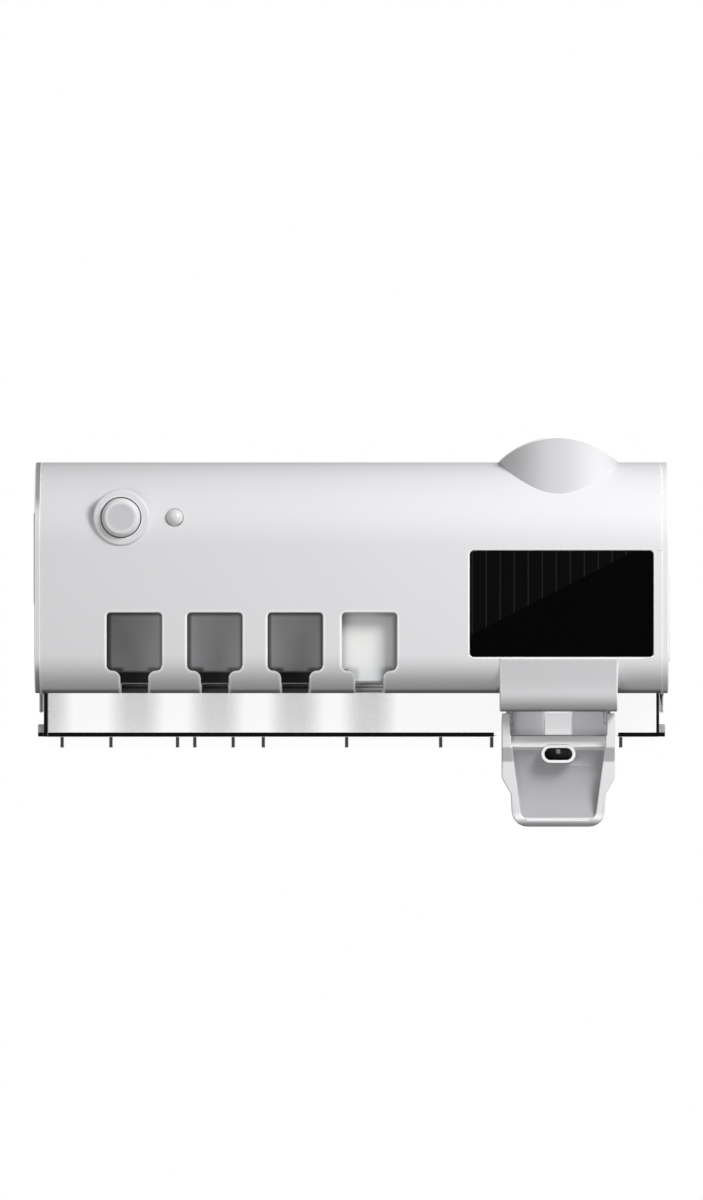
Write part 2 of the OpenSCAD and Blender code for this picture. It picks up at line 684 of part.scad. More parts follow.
// Lever seen from the front, in X and height
function lever_front() = let (w = lever_w / 2, s = w - 3.8) rounded([
    [-w, lever_top + 1], [w, lever_top + 1], [w, lever_bottom + 20], [s, lever_bottom + 13.5],
    [s - 0.6, lever_bottom], [-s + 0.6, lever_bottom], [-s, lever_bottom + 13.5], [-w, lever_bottom + 20]],
    [0, 0, 5, 3, 6.5, 6.5, 3, 5]);
function pan_front() = let (w = side_in - 0.8) rounded([
    [-w, band_z], [w, band_z], [w - 4, lever_bottom + 2.4], [-w + 4, lever_bottom + 2.4]], [0, 0, 4.5, 4.5]);
module oval(w, h) {
    square([w - h, h], center = true);
    for (x = [-1, 1] * (w - h) / 2) translate([x, 0]) circle(h / 2, $fn = 48);
}
module lever_body() difference() {
    union() {
        intersection() {
            ahead(lever_rear - 1, wall_front + 1) translate([disp_x, 0]) polygon(lever_front());
            across(disp_x - lever_w, disp_x + lever_w) lever_side();
        }
        box([disp_x - side_in - 0.5, disp_x + side_in + 0.5], [plane_d - web_t, plane_d],
            [ledge_z - 1, plane_top]);
    }
    box([disp_x - side_in, disp_x + side_in], [plane_d, wall_front + 1], [ledge_z, plane_top + 1]);
    box([disp_x - side_in + 0.4, disp_x + side_in - 0.4], [band_front, wall_front + 1],
        [band_z, ledge_z + 1]);
    intersection() {
        ahead(lever_rear, wall_front + 1) translate([disp_x, 0]) polygon(pan_front());
        rod_x(disp_x - lever_w, disp_x + lever_w, pan_axis_d, pan_axis_z, pan_r, $fn = 180);
    }
    across(disp_x - side_in + 2.5, disp_x + side_in - 2.5) difference() {
        polygon([[lever_rear - 1, plane_top + 1], [plane_d - web_t, plane_top + 1],
            [plane_d - web_t, ledge_z - web_t], [band_front - web_t, ledge_z - web_t],
            [band_front - web_t, band_z], [rim_front, band_z - 2], [rim_front, lever_bottom + 4],
            [lever_rear - 1, lever_bottom + 4]]);
        translate([pan_axis_d, pan_axis_z]) circle(pan_r + web_t, $fn = 180);
    }
}
module push_lever() color("white") difference() {
    union() {
        lever_body();
        for (x = [-ear_out, ear_out - ear_t]) {
            across(disp_x + x, disp_x + x + ear_t) polygon([
                [pivot_d - ear_r, pivot_z + 1], [pivot_d - ear_r, pivot_z],
                [bottom_axis_d - 0.8, pivot_z - 2.6], [bottom_axis_d - 0.8, lever_top - 4],
                [lever_rear, lever_top - rear_drop - 4], [lever_rear, lever_top - rear_drop],
                [under_d, pivot_z - 3]]);
            rod_x(disp_x + x, disp_x + x + ear_t, pivot_d, pivot_z, ear_r);
        }
        for (x = [-arm_x - arm_t / 2, arm_x - arm_t / 2]) {
            across(disp_x + x, disp_x + x + arm_t) polygon([
                [tube_d, pivot_z - 1.6], [tube_d - 1, pivot_z - 4.9], [lever_rear, lever_top - 6],
                [plane_d - 1, lever_top - 6], [plane_d - 1, lever_top - 2.4],
                [lever_rear + 1, lever_top - 2.4], [tube_d + 1.5, pivot_z - 1.7]]);
            rod_x(disp_x + x, disp_x + x + arm_t, tube_d, piston_foot_z - 0.3 - arm_tip_r, arm_tip_r);
        }
    }
    box([disp_x - nozzle_w / 2 - fit, disp_x + nozzle_w / 2 + fit], [lever_rear - 1, wall_front],
        [ledge_z, plane_top + 1]);
    box([disp_x - nozzle_w / 2 - fit, disp_x + nozzle_w / 2 + fit], [lever_rear - 1, nozzle_low_front + fit],
        [ledge_z - web_t - 1, ledge_z + 1]);
    ahead(nozzle_low_front, wall_front + 1) translate([disp_x, outlet_z])
        oval(outlet_w + 3 + 2 * fit, outlet_h + 2.8 + 2 * fit);
    rod_x(disp_x - lever_w, disp_x + lever_w, pivot_d, pivot_z, pin_r + run);
}
module lever_pin() color("silver")
    rod_x(disp_x - block_in - 1.2, disp_x + block_in + 1.2, pivot_d, pivot_z, pin_r);

module outlet_nozzle() color("white") difference() {
    union() {
        across(disp_x - nozzle_w / 2, disp_x + nozzle_w / 2) polygon([
            [nozzle_back, pivot_z - 2.4], [bottom_axis_d - 1, pivot_z - 2.4],
            [bottom_axis_d - 1, lever_top - 0.4], [band_front + 0.6, lever_top - 0.4],
            [band_front + 0.6, ledge_z + 0.1], [nozzle_low_front, ledge_z + 0.1],
            [nozzle_low_front, outlet_z - 5], [nozzle_back, outlet_z - 5]]);
        box([disp_x - 7.3, disp_x + 7.3], [nozzle_back, nozzle_low_front],
            [outlet_z - 5, min(outlet_z + 4, ledge_z - web_t - 0.2)]);
    }
    rod_z(disp_x, nozzle_back + 2.4, outlet_z, port_z + 1.6, 1.4);
    rod_d(disp_x, nozzle_back, nozzle_back + 2.4, port_z, 1.1);
    rod_d(disp_x, nozzle_back - 1, nozzle_back + 1.5, port_z, hose_r + 0.02);
    ahead(nozzle_back + 1.6, nozzle_low_front + 1) translate([disp_x, outlet_z])
        oval(outlet_w - 2, outlet_h - 1);
}
module outlet_lip() color("white") ahead(nozzle_low_front + 0.1, band_front + 0.6)
    translate([disp_x, outlet_z]) difference() {
        oval(outlet_w + 3, outlet_h + 2.8);
        oval(outlet_w, outlet_h);
    }
module outlet_hose() color("tomato") difference() {
    union() {
        rod_z(disp_x, tube_d, port_z + hose_bend, piston_foot_z - 0.2, hose_r);
        translate([disp_x, -nozzle_back, port_z + hose_bend]) rotate([0, 90, 0])
            rotate_extrude(angle = 90, start = 0) translate([hose_bend, 0]) circle(hose_r, $fn = 32);
        rod_d(disp_x, nozzle_back, nozzle_back + 1.4, port_z, hose_r);
    }
    rod_z(disp_x, tube_d, port_z + hose_bend, piston_foot_z + 1, spigot_r + 0.02);
}

function tray_plan(t) = let (h = tray_half - t, b = tray_back + t, f = tray_front - t, j = tray_jog - t) [
    [-h, b], [h, b], [h, f], [tray_gap_x1 + t, f], [tray_gap_x1 + t, j], [tray_gap_x0 - t, j],
    [tray_gap_x0 - t, f], [-h, f]];
module drip_tray() color("lightblue", 0.4) difference() {
    union() {
        upward(tray_z0, tray_rim) polygon(rounded(tray_plan(0), [2, 2, 2, 1, 1, 1, 1, 2], 4));
        for (x = [[-tray_half + 2, tray_gap_x0], [tray_gap_x1, tray_half - 2]])
            box(x, [tray_front - 1.4, tray_front], [tray_z0 - skirt_h, tray_z0 + 0.5]);
        for (x = tray_ribs)
            box([x - tray_rib_w / 2, x + tray_rib_w / 2], [tray_front - 8, tray_front - 0.7],
                [tray_z0 - skirt_h + 0.6, tray_z0 + 0.5]);
        for (x = [-1, 1] * (tray_half + nub_w / 2 - 0.5))
            box([x - nub_w / 2 - 0.5, x + nub_w / 2 + 0.5], [nub_back, tray_front - 2],
                [tray_z0, tray_z0 + nub_h]);
    }
    upward(tray_z0 + 1.9, tray_rim + 1) polygon(rounded(tray_plan(tray_t), [1, 1, 1, 2, 2, 2, 2, 1], 4));
}

module chamber_liner() color("dimgray") difference() {
    intersection() {
        box([liner_x0, liner_x1], [liner_back, liner_front], [liner_low, liner_top]);
        across(liner_x0, liner_x1) profile(wall + 0.3, bottom);
    }
    box([liner_x0 + liner_t, liner_x1 - liner_t], [liner_back + liner_t, liner_front + 1],
        [liner_low - 1, liner_top - liner_t]);
    box([liner_x0 - 1, liner_x1 + 1], [bottom_axis_d - 6, liner_front + 1], [liner_low - 1, shoulder_z]);
    rod_z(uv_lead_x, uv_lead_d, liner_top - 3, liner_top + 1, lead_hole_r);
}
module slot_blank() color("whitesmoke") {
    w = slot_w + 2 * blank_side;
    rear = body_d - wall - 6.6;
    intersection() {
        across(razor_bay - w / 2, razor_bay + w / 2) profile(wall + 0.05, bottom);
        difference() {
            union() {
                box([razor_bay - w / 2, razor_bay + w / 2], [rear, body_d],
                    [shoulder_z + 0.5, slot_top_z + 3.4]);
                box([razor_bay - w / 2 + 5, razor_bay + w / 2 - 5], [rear, rear + 1.2],
                    [bottom + rib_h + 0.2, shoulder_z + 1]);
            }
            box([razor_bay - w / 2 + 1.2, razor_bay + w / 2 - 1.2], [rear + 1.2, body_d],
                [bottom, slot_top_z + 2.2]);
        }
    }
}

module uv_board() color("seagreen")
    box([liner_x0 + 4, liner_x1 - 4], [bottom_axis_d - 10, bottom_axis_d],
        [liner_top - liner_t - board_t, liner_top - liner_t]);
module uv_leds() color("khaki") for (x = bays, s = [-5, 5])
    box([x + s - 1.75, x + s + 1.75], [bottom_axis_d - 6.75, bottom_axis_d - 3.25],
        [liner_top - liner_t - board_t - 1.5, liner_top - liner_t - board_t]);

module main_board() color("seagreen") difference() {
    union() {
        box([board_x0, board_x1], [board_back, board_front], [board_z0, board_z1]);
        for (c = board_parts)
            box([c[0], c[0] + c[1]], [board_back - c[2], board_back + 0.5], [c[3], c[3] + c[4]]);
    }
    for (x = board_post_x, z = board_post_z) rod_d(x, board_back - 1, board_front + 1, z, screw_r + 0.2);
}
module board_screws() color("silver") for (x = board_post_x, z = board_post_z)
    screw_d(x, z, board_back, board_front + 5);
module tact_switch() color("dimgray") union() {
    box([button_x - 3, button_x + 3], [board_front, board_front + switch_h], [button_z - 3, button_z + 3]);
    rod_d(button_x, board_front + switch_h - 0.5, board_front + switch_h + plunger_h, button_z, 1.7);
}
module power_button() color("white") turned_d(button_x, button_z) polygon(concat(
    [[0, stem_end], [2, stem_end], [2, cap_back], [cap_flange_r, cap_back],
        [cap_flange_r, cap_back + cap_flange_t], [button_r, cap_back + cap_flange_t]],
    [for (a = [0:15:90]) [button_r - 3.1 + 3.1 * cos(a), button_face - 2.2 + 2.2 * sin(a)]],
    [[0, button_face]]));
module button_spring() color("silver") translate([button_x, 0, button_z]) rotate([90, 0, 0])
    coil(5.6, 0.25, board_front + 0.05, cap_back - 0.05, 6);
module motion_sensor() color("silver")
    rod_d(lens_x, board_front, board_front + sensor_h, button_z, lens_r + 0.55);
module sensor_lens() color("white") union() {
    rod_d(lens_x, board_front + sensor_h, body_d - 2.6, button_z, lens_r);
    translate([lens_x, -(body_d - 2.6), button_z]) sphere(lens_r * 1.002, $fn = 64);
    rod_d(lens_x, board_front + sensor_h, board_front + sensor_h + 1.5, button_z, lens_r + 0.55);
}

module battery_cell() color("royalblue") union() {
    rod_x(cell_x - cell_l / 2, cell_x + cell_l / 2, cell_d, cell_z, cell_r);
    rod_x(cell_x + cell_l / 2 - 0.5, cell_x + cell_l / 2 + 0.8, cell_d, cell_z, 3);
}
module battery_holder() color("dimgray") {
    x0 = cell_x - cell_l / 2 - 0.3;
    x1 = cell_x + cell_l / 2 + 1.1;
    difference() {
        union() {
            box([x0 - holder_t, x1 + holder_t], [back_front, back_front + 2], [cell_z - 12, cell_z + 10]);
            for (x = [x0 - holder_t, x1])
                box([x, x + holder_t], [back_front, cell_d + 6], [cell_z - 12, cell_z + 8]);
            box([x0, x1], [back_front, cell_d + 5], [cell_z - 12, cell_z - cell_r + 3]);
        }
        rod_x(x0, x1, cell_d, cell_z, cell_r + fit);
    }
}

module solar_cell() color("midnightblue") ahead(solar_floor + 0.02, cell_front)
    translate([solar_x, solar_z])
        polygon(rounded(box_points(solar_w - 0.6, solar_h - 0.6), repeat(solar_r - 0.3, 4)));
module solar_glass() color("black") ahead(cell_front + 0.02, glass_front)
    translate([solar_x, solar_z]) polygon(rounded(box_points(solar_w, solar_h), repeat(solar_r, 4)));

module charge_board() color("seagreen")
    box([charge_x, charge_x + 1.2], [port_d - 9, port_d + 9], [port_mid_z - 8.5, port_mid_z + 9]);
module charge_socket() color("silver") difference() {
    across(charge_x + 1.2, half - 1.7) translate([port_d, port_mid_z])
        polygon(rounded(box_points(port_w - 0.4, port_h - 0.4), repeat(1, 4)));
    across(charge_x + 4, half) translate([port_d, port_mid_z])
        polygon(rounded(box_points(port_w - 1, port_h - 1), repeat(0.8, 4)));
}
module port_cover() color("whitesmoke") union() {
    across(half + 0.05, half + 0.05 + cover_t) translate([port_d, port_mid_z])
        polygon(rounded(box_points(cover_w, cover_h), [3, 3, 0, 0]));
    box([cover_axis_x, half + 0.5], [port_d - cover_w / 2, port_d + cover_w / 2],
        [cover_axis_z - barrel_r, cover_axis_z + 0.6]);
    rod_d(cover_axis_x, port_d - cover_w / 2, port_d + cover_w / 2, cover_axis_z, barrel_r);
    rod_d(cover_axis_x, port_d - cover_w / 2 - gap - 0.8, port_d + cover_w / 2 + gap + 0.8, cover_axis_z,
        cover_pin_r);
    across(half - 1.3, half + 0.5) translate([port_d, port_mid_z])
        polygon(rounded(box_points(port_w - 2.4, port_h - 1.6), repeat(0.6, 4)));
}

module solar_lead() color("firebrick") wire([
    [solar_lead_x, solar_floor, solar_z], [solar_lead_x, front_lead_d, solar_z],
    [solar_lead_x, front_lead_d, front_lead_z], [board_x1 - 12, front_lead_d, front_lead_z],
    [board_x1 - 12, board_front, front_lead_z]], lead_r);
module battery_lead() color("firebrick") wire([
    [cell_x - cell_l / 2 - 0.3 - holder_t, cell_d, cell_z - 6], [board_x1 - 8, cell_d, cell_z - 6],
    [board_x1 - 8, board_back, cell_z - 6]], lead_r);
module uv_lead() color("firebrick") wire([
    [uv_lead_x, bottom_axis_d - 10, liner_top - liner_t - lead_r - 0.1],
    [uv_lead_x, uv_lead_d, liner_top - liner_t - lead_r - 0.1],
    [uv_lead_x, uv_lead_d, button_z], [uv_lead_x, board_back, button_z]], lead_r);
module charge_lead() color("firebrick") wire([
    [charge_x, port_d - rest_d, port_mid_z + 6], [charge_x - 3, port_d - rest_d, port_mid_z + 6],
    [charge_x - 3, charge_lead_d, port_mid_z + 6], [charge_lead_x, charge_lead_d, port_mid_z + 6],
    [charge_lead_x, charge_lead_d, cell_z - 8],
    [cell_x + cell_l / 2 + 1.1 + holder_t, charge_lead_d, cell_z - 8]], lead_r);

adhesive_pad();
wall_plate();
back_shell();
front_shell();
left_end_cap();
right_end_cap();
casing_screws();
tube_collar();
dispenser_frame();
frame_screws();
pump_cylinder();
pump_end_cap();
tube_adaptor();
inlet_valve();
pump_piston();
piston_seal();
outlet_valve();
return_spring();
push_lever();
lever_pin();
outlet_nozzle();
outlet_lip();
outlet_hose();
drip_tray();
chamber_liner();
slot_blank();
uv_board();
uv_leds();
main_board();
board_screws();
tact_switch();
power_button();
button_spring();
motion_sensor();
sensor_lens();
battery_cell();
battery_holder();
solar_cell();
solar_glass();
charge_board();
charge_socket();
port_cover();
solar_lead();
battery_lead();
uv_lead();
charge_lead();
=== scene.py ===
# %% [markdown]
# # A wall-mounted toothpaste dispenser, dressed in Blender
#
# The real object is a white moulded casing that hangs on a bathroom wall. Four brush bays open on
# the left, a push lever hangs below a chute on the right, a dark solar panel sits flush in the
# front, and a clear tray runs along underneath.
#
# The imported CAD model is the fixed frame of this scene. It gives every place and size, so a piece is
# never fitted by eye: it is worked out from the same numbers. Where the CAD solid already has the right
# form it stays and only gets a finish. Where the real moulding has soft edges or a crowned face, a new
# surface takes the node's place.

# %% Load the imported model
import json
import math

import bmesh
import bpy
import numpy as np
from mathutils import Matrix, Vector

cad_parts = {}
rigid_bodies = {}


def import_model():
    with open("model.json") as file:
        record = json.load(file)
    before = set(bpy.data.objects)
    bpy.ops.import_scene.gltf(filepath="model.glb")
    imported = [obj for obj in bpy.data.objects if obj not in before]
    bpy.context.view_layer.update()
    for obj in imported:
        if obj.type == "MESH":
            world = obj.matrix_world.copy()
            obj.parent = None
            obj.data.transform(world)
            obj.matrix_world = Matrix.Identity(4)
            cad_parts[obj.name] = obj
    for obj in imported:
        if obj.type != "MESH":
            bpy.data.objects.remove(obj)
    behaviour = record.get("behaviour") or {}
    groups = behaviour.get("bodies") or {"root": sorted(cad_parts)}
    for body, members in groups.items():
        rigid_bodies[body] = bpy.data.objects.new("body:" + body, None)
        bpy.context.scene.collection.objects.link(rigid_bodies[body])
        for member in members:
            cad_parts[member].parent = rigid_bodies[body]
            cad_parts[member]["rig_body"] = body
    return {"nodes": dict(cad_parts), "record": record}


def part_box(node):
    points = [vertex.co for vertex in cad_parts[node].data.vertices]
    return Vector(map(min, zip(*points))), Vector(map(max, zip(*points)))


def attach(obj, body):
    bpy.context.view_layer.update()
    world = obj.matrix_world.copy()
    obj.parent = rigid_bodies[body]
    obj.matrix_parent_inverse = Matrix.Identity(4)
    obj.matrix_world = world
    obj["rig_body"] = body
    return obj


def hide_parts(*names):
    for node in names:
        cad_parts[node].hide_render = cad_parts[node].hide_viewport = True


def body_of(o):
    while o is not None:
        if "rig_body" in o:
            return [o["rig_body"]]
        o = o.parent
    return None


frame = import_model()
nodes = frame["nodes"]
slot_of = {part["node"]: part["material_slot"] for part in frame["record"]["subparts"]}
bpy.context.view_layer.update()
MM = 0.001

# %% [markdown]
# ## The camera and the light
#
# The photograph is a studio picture, taken from straight ahead with a long lens, so that left and
# right walls barely show. A camera could be orthographic, but a long lens far away gives the same
# picture and also works from any other side. The key lamp is near and high on the right. A wide
# fill comes from the left and below, a weak lamp from under the casing, and the sky is dim. What
# these lamps don't give of the photograph's light and shade is painted into the finishes.

# %% Camera
photo_mm, photo_z = 491.8, -0.0092
camera_away, sensor_mm = 6.0, 36
front_depth = 0.070
camera_data = bpy.data.cameras.new("studio camera")
camera_data.sensor_width = sensor_mm
camera_data.lens = sensor_mm * camera_away / (photo_mm * MM)
camera_data.clip_start = 0.1
camera_data.clip_end = 40
camera = bpy.data.objects.new("studio camera", camera_data)
camera.location = (0, -front_depth - camera_away, photo_z)
camera.rotation_euler = (math.pi / 2, 0, 0)
bpy.context.scene.collection.objects.link(camera)
bpy.context.scene.camera = camera
bpy.context.scene.view_settings.view_transform = "Standard"
print("lens", round(camera_data.lens, 1), "mm")

# %% Lights


def soft_lamp(name, place, target, size, power):
    """A square area lamp at a place, turned towards a target point."""
    lamp = bpy.data.lights.new(name, "AREA")
    lamp.energy = power
    lamp.size = size
    lamp_object = bpy.data.objects.new(name, lamp)
    lamp_object.location = place
    away = np.subtract(place, target)
    lamp_object.rotation_euler = (
        math.atan2(math.hypot(away[0], away[1]), away[2]), 0, math.atan2(away[1], away[0]) + math.pi / 2)
    bpy.context.scene.collection.objects.link(lamp_object)
    return lamp_object


casing_middle, tray_middle = (0.0, -0.05, 0.0), (0.03, -0.05, -0.03)
key = soft_lamp("key lamp", (0.56, -0.64, 0.54), casing_middle, 0.36, 8.6)
fill = soft_lamp("fill lamp", (-1.1, -2.7, -0.5), casing_middle, 1.2, 24)
low = soft_lamp("low lamp", (0.14, -0.80, -0.33), tray_middle, 0.16, 0.55)
print("lamps of", [lamp_object.data.energy for lamp_object in (key, fill, low)], "W")

# %% Sky
sky_low, sky_high = 0.20, 0.27
world = bpy.data.worlds.new("studio")
world.use_nodes = True
bpy.context.scene.world = world
sky = world.node_tree
background = sky.nodes["Background"]
path = sky.nodes.new("ShaderNodeLightPath")
where = sky.nodes.new("ShaderNodeTexCoord")
split = sky.nodes.new("ShaderNodeSeparateXYZ")
level = sky.nodes.new("ShaderNodeMapRange")
level.inputs["From Min"].default_value = -0.6
level.inputs["From Max"].default_value = 0.3
level.inputs["To Min"].default_value = sky_low
level.inputs["To Max"].default_value = sky_high
pick = sky.nodes.new("ShaderNodeMix")
pick.inputs["B"].default_value = 1.0
sky.links.new(where.outputs["Generated"], split.inputs["Vector"])
sky.links.new(split.outputs["Z"], level.inputs["Value"])
sky.links.new(path.outputs["Is Camera Ray"], pick.inputs["Factor"])
sky.links.new(level.outputs["Result"], pick.inputs["A"])
sky.links.new(pick.outputs["Result"], background.inputs["Strength"])
background.inputs["Color"].default_value = (1, 1, 1, 1)
print("sky strength from", sky_low, "to", sky_high)

# %% [markdown]
# ## Words for shader maths
#
# A finish is a small network of shader nodes. Wiring it by hand is long to write and hard to read,
# so one class wraps an output socket and lets ordinary maths build the network, and another keeps
# the material, its shader and a single method for every other node.

# %% Shader maths


class Signal:
    """An output socket that takes part in ordinary maths. Each operator adds one Math node."""

    def __init__(self, finish, socket):
        self.finish, self.socket = finish, socket

    def maths(self, operation, first, second=0.0):
        return self.finish.node("Math", {"operation": operation}, {0: first, 1: second})

    def __add__(self, other):
        return self.maths("ADD", self, other)

    def __radd__(self, other):
        return self.maths("ADD", other, self)

    def __sub__(self, other):
        return self.maths("SUBTRACT", self, other)

    def __rsub__(self, other):
        return self.maths("SUBTRACT", other, self)

    def __mul__(self, other):
        return self.maths("MULTIPLY", self, other)

    def __truediv__(self, other):
        return self.maths("DIVIDE", self, other)

    def __pow__(self, other):
        return self.maths("POWER", self, other)

    def __mod__(self, other):
        return self.maths("FLOORED_MODULO", self, other)

    def __abs__(self):
        return self.maths("ABSOLUTE", self)

    def over(self, other):
        """The larger of two values."""
        return self.maths("MAXIMUM", self, other)

    def under(self, other):
        """The smaller of two values."""
        return self.maths("MINIMUM", self, other)

    def rise(self, start, end):
        """0 before start, 1 after end, and a smooth step between them."""
        return self.finish.node("MapRange", {"interpolation_type": "SMOOTHSTEP"},
                                {"Value": self, "From Min": start, "From Max": end})

    def inside(self, low, high, soft=0.0002):
        """1 between two values, 0 outside them, with soft ends."""
        return self.rise(low - soft, low + soft) * (1 - self.rise(high - soft, high + soft))


class Finish:
    """A material built round the Principled shader, whose fixed values are set on its own sockets."""

    def __init__(self, name, **fixed):
        self.material = bpy.data.materials.new(name)
        self.material.use_nodes = True
        self.tree = self.material.node_tree
        self.shader = self.tree.nodes["Principled BSDF"]
        for socket, value in fixed.items():
            self.shader.inputs[socket.replace("_", " ")].default_value = value
        self.place = self.node("TexCoord", output="Object")
        self.x, self.y, self.z = (
            self.node("SeparateXYZ", inputs={0: self.place}, output=axis) for axis in "XYZ")

    def node(self, kind, settings=None, inputs=None, output=0):
        """Adds a node: its settings first, then its values and links."""
        node = self.tree.nodes.new("ShaderNode" + kind)
        for setting, value in (settings or {}).items():
            setattr(node, setting, value)
        for socket, value in (inputs or {}).items():
            if isinstance(value, Signal):
                self.tree.links.new(value.socket, node.inputs[socket])
            else:
                node.inputs[socket].default_value = value
        return Signal(self, node.outputs[output])

    def noise(self, scale, detail, stretch=None):
        """Soft noise from 0 to 1 whose patches are about 1 / scale metres wide."""
        place = self.place
        if stretch:
            place = self.node("Mapping", inputs={0: place, "Scale": stretch})
        return self.node("TexNoise", inputs={"Vector": place, "Scale": scale, "Detail": detail})

    def mix(self, amount, first, second):
        """A colour between two colours."""
        first, second = ((*c, 1) if isinstance(c, tuple) else c for c in (first, second))
        return self.node("Mix", {"data_type": "RGBA"}, {0: amount, 6: first, 7: second}, 2)

    def feed(self, **signals):
        """Links what varies over the surface to the shader's sockets."""
        for socket, value in signals.items():
            self.tree.links.new(value.socket, self.shader.inputs[socket.replace("_", " ")])
        return self

    def bump(self, height, distance):
        """Turns a height pattern into the shader's normal."""
        heights = {"Height": height, "Distance": distance, "Strength": 1.0}
        return self.feed(Normal=self.node("Bump", inputs=heights))


print("shader words ready")

# %% [markdown]
# ## Where things are on the casing
#
# Several finishes need to know how far a point is from a brush window: the casing has a painted
# highlight on the rim round each, painted shade makes the rails behind them near black, and painted
# shade darkens the liner towards their sides, and the blank too. A texture could hold that, but the
# outline is simple: a slot with round corners over a narrow neck. So a formula gives the distance, and
# the same one serves them all.
#
# Other finishes, and the soft edges further down, ask for the chute that holds the lever, for the
# collar or the button. Their places follow the CAD source, in metres. Depth counts out from the
# wall, so it is minus y.

# %% Places on the casing
bays = [-0.0891, -0.0561, -0.0231, 0.0073]
slot_half, slot_top, shoulder, slot_corner = 0.0113, -0.0144, -0.0382, 0.0022
neck_half, neck_z, neck_reach, neck_corner = 0.00575, -0.050, 0.020, 0.0002
casing_foot = -0.0475
top_z, top_r = 0.0135, 0.034
low_z, low_r = -0.0315, 0.016
chute_x, chute_half, chute_z, chute_r = 0.085, 0.0240, -0.047, 0.008
collar_depth, collar_out, collar_in = 0.038, 0.0246, 0.0225
button_x, button_z, lens_x = -0.0945, 0.0246, -0.0725
outlet_z = -0.0725
print("windows at", [round(bay / MM, 1) for bay in bays], "chute at", round(chute_x / MM, 1))

# %% Distance to the windows


def box_distance(across, along, half_across, half_along, corner):
    """Distance to a box with round corners: the length of what lies past its sides and ends, or
    how deep a point is inside, less the corner's radius."""
    side, end = across - (half_across - corner), along - (half_along - corner)
    past = (side.over(0) * side.over(0) + end.over(0) * end.over(0)) ** 0.5
    return past + side.over(end).under(0) - corner


def nearest(finish, places):
    """Distance in x to the nearest of some places."""
    near = abs(finish.x - places[0])
    for place in places[1:]:
        near = near.under(abs(finish.x - place))
    return near


def window_distance(finish):
    """Distance outside the nearest window's outline: that of slot or neck, softly the smaller.
    The two blend over 3 mm, so the corner between them is round."""
    across = nearest(finish, bays)
    slot_z, slot_reach = (slot_top + shoulder) / 2, (slot_top - shoulder) / 2
    slot = box_distance(across, abs(finish.z - slot_z), slot_half, slot_reach, slot_corner)
    neck = box_distance(across, abs(finish.z - neck_z), neck_half, neck_reach, neck_corner)
    return finish.node("Math", {"operation": "SMOOTH_MIN"}, {0: slot, 1: neck, 2: 3 * MM})


print("window is", round(2 * slot_half / MM, 1), "mm wide, its neck", round(2 * neck_half / MM, 1), "mm")

# %% [markdown]
# ## Moulded plastic
#
# The casing, caps, lever and frame are injection moulded. Such plastic is one colour right
# through. Its mould was spark-eroded to a fine satin grain, which spreads the highlights, and wide
# patches of the surface shine a little more than others. Both are bump and roughness, not colour,
# so the colour itself only drifts by a few per cent.
#
# The photograph also shows light and shade on these pieces that the lamps here don't give, such as
# a dark lower edge. One short function for each piece paints it as colour, by place. It stays where
# it is when the lamps or the camera move, which is the price of this way.

# %% Finishes for moulded plastic
drift = 0.035
# Colours of painted shade: near black for the rails behind the windows, grey for the chute and the
# collar.
rail_painted_shade, painted_shade_grey = (0.010, 0.010, 0.012), (0.12, 0.12, 0.125)
rail_depth, open_bays_end = 0.0600, -0.009


def moulding(name, colour, rough=0.42, grain=0.000012, painted_light_and_shade=None, **fixed):
    """Satin plastic: colour drifts slowly, roughness in patches, and a fine grain of low bumps.
    A painting function, if given, takes the finish and its colour, and paints the light and shade that
    belong to one moulding alone."""
    finish = Finish(name, Specular_IOR_Level=0.45, **fixed)
    slow = finish.noise(18, 2)
    patches = finish.noise(55, 3)
    fine = finish.noise(2600, 2)
    darker = tuple(c * (1 - drift) for c in colour)
    shade = finish.mix(slow, darker, colour)
    if painted_light_and_shade:
        shade = painted_light_and_shade(finish, shade)
    return finish.feed(Base_Color=shade, Roughness=rough - 0.05 + patches * 0.1).bump(fine, grain)


def behind_windows(finish, distance):
    """1 on what lies more than 10 mm behind the front, inside the outlines of the three open
    windows."""
    behind = finish.y.rise(-rail_depth, -rail_depth + 0.0015)
    open_bays = 1 - finish.x.rise(open_bays_end - 0.001, open_bays_end + 0.001)
    return behind * (1 - distance.rise(-0.0005, 0.0)) * open_bays


def edge_painted_shade(finish, shade):
    """Painted shade makes the soft edges of the rails behind the open windows near black, as on the
    rails.
    """
    return finish.mix(behind_windows(finish, window_distance(finish)), shade, rail_painted_shade)


def front_painted_light_and_shade(finish, shade):
    """Painted light and shade: a painted highlight on the window rims; painted shade near black on the
    rails behind the three open windows, duller on the chute, and dark along the lower edge, which is
    lower on the chute and turns up in the corners beside it."""
    distance = window_distance(finish)
    rim_highlight = distance.rise(-0.0022, -0.0004) * (1 - distance.rise(0.0004, 0.0013))
    across = abs(finish.x - chute_x)
    chute = 1 - across.rise(chute_half - 0.0001, chute_half + 0.0001)
    chute_drop, corner_r = 0.0081, 0.0018
    low_edge_shade = 1 - (finish.z + chute * chute_drop).rise(casing_foot + 0.0006, casing_foot + 0.0022)
    beside, above = across - (chute_half + 0.0005), finish.z - casing_foot
    corner_shade = (1 - (beside * beside + above * above * 0.4).rise(0.0, corner_r ** 2)) * (1 - chute)
    below_panel, upper = finish.z.rise(-0.0325, -0.0345), finish.z.rise(-0.0540, -0.0400)
    chute_shade = chute * below_panel * (0.08 + upper * 0.22)
    shade = finish.mix(chute_shade, shade, painted_shade_grey)
    shade = finish.mix(rim_highlight, shade, (0.97, 0.97, 0.97))
    shade = finish.mix(low_edge_shade.over(corner_shade) * 0.82, shade, (0.05, 0.05, 0.055))
    return finish.mix(behind_windows(finish, distance), shade, rail_painted_shade)


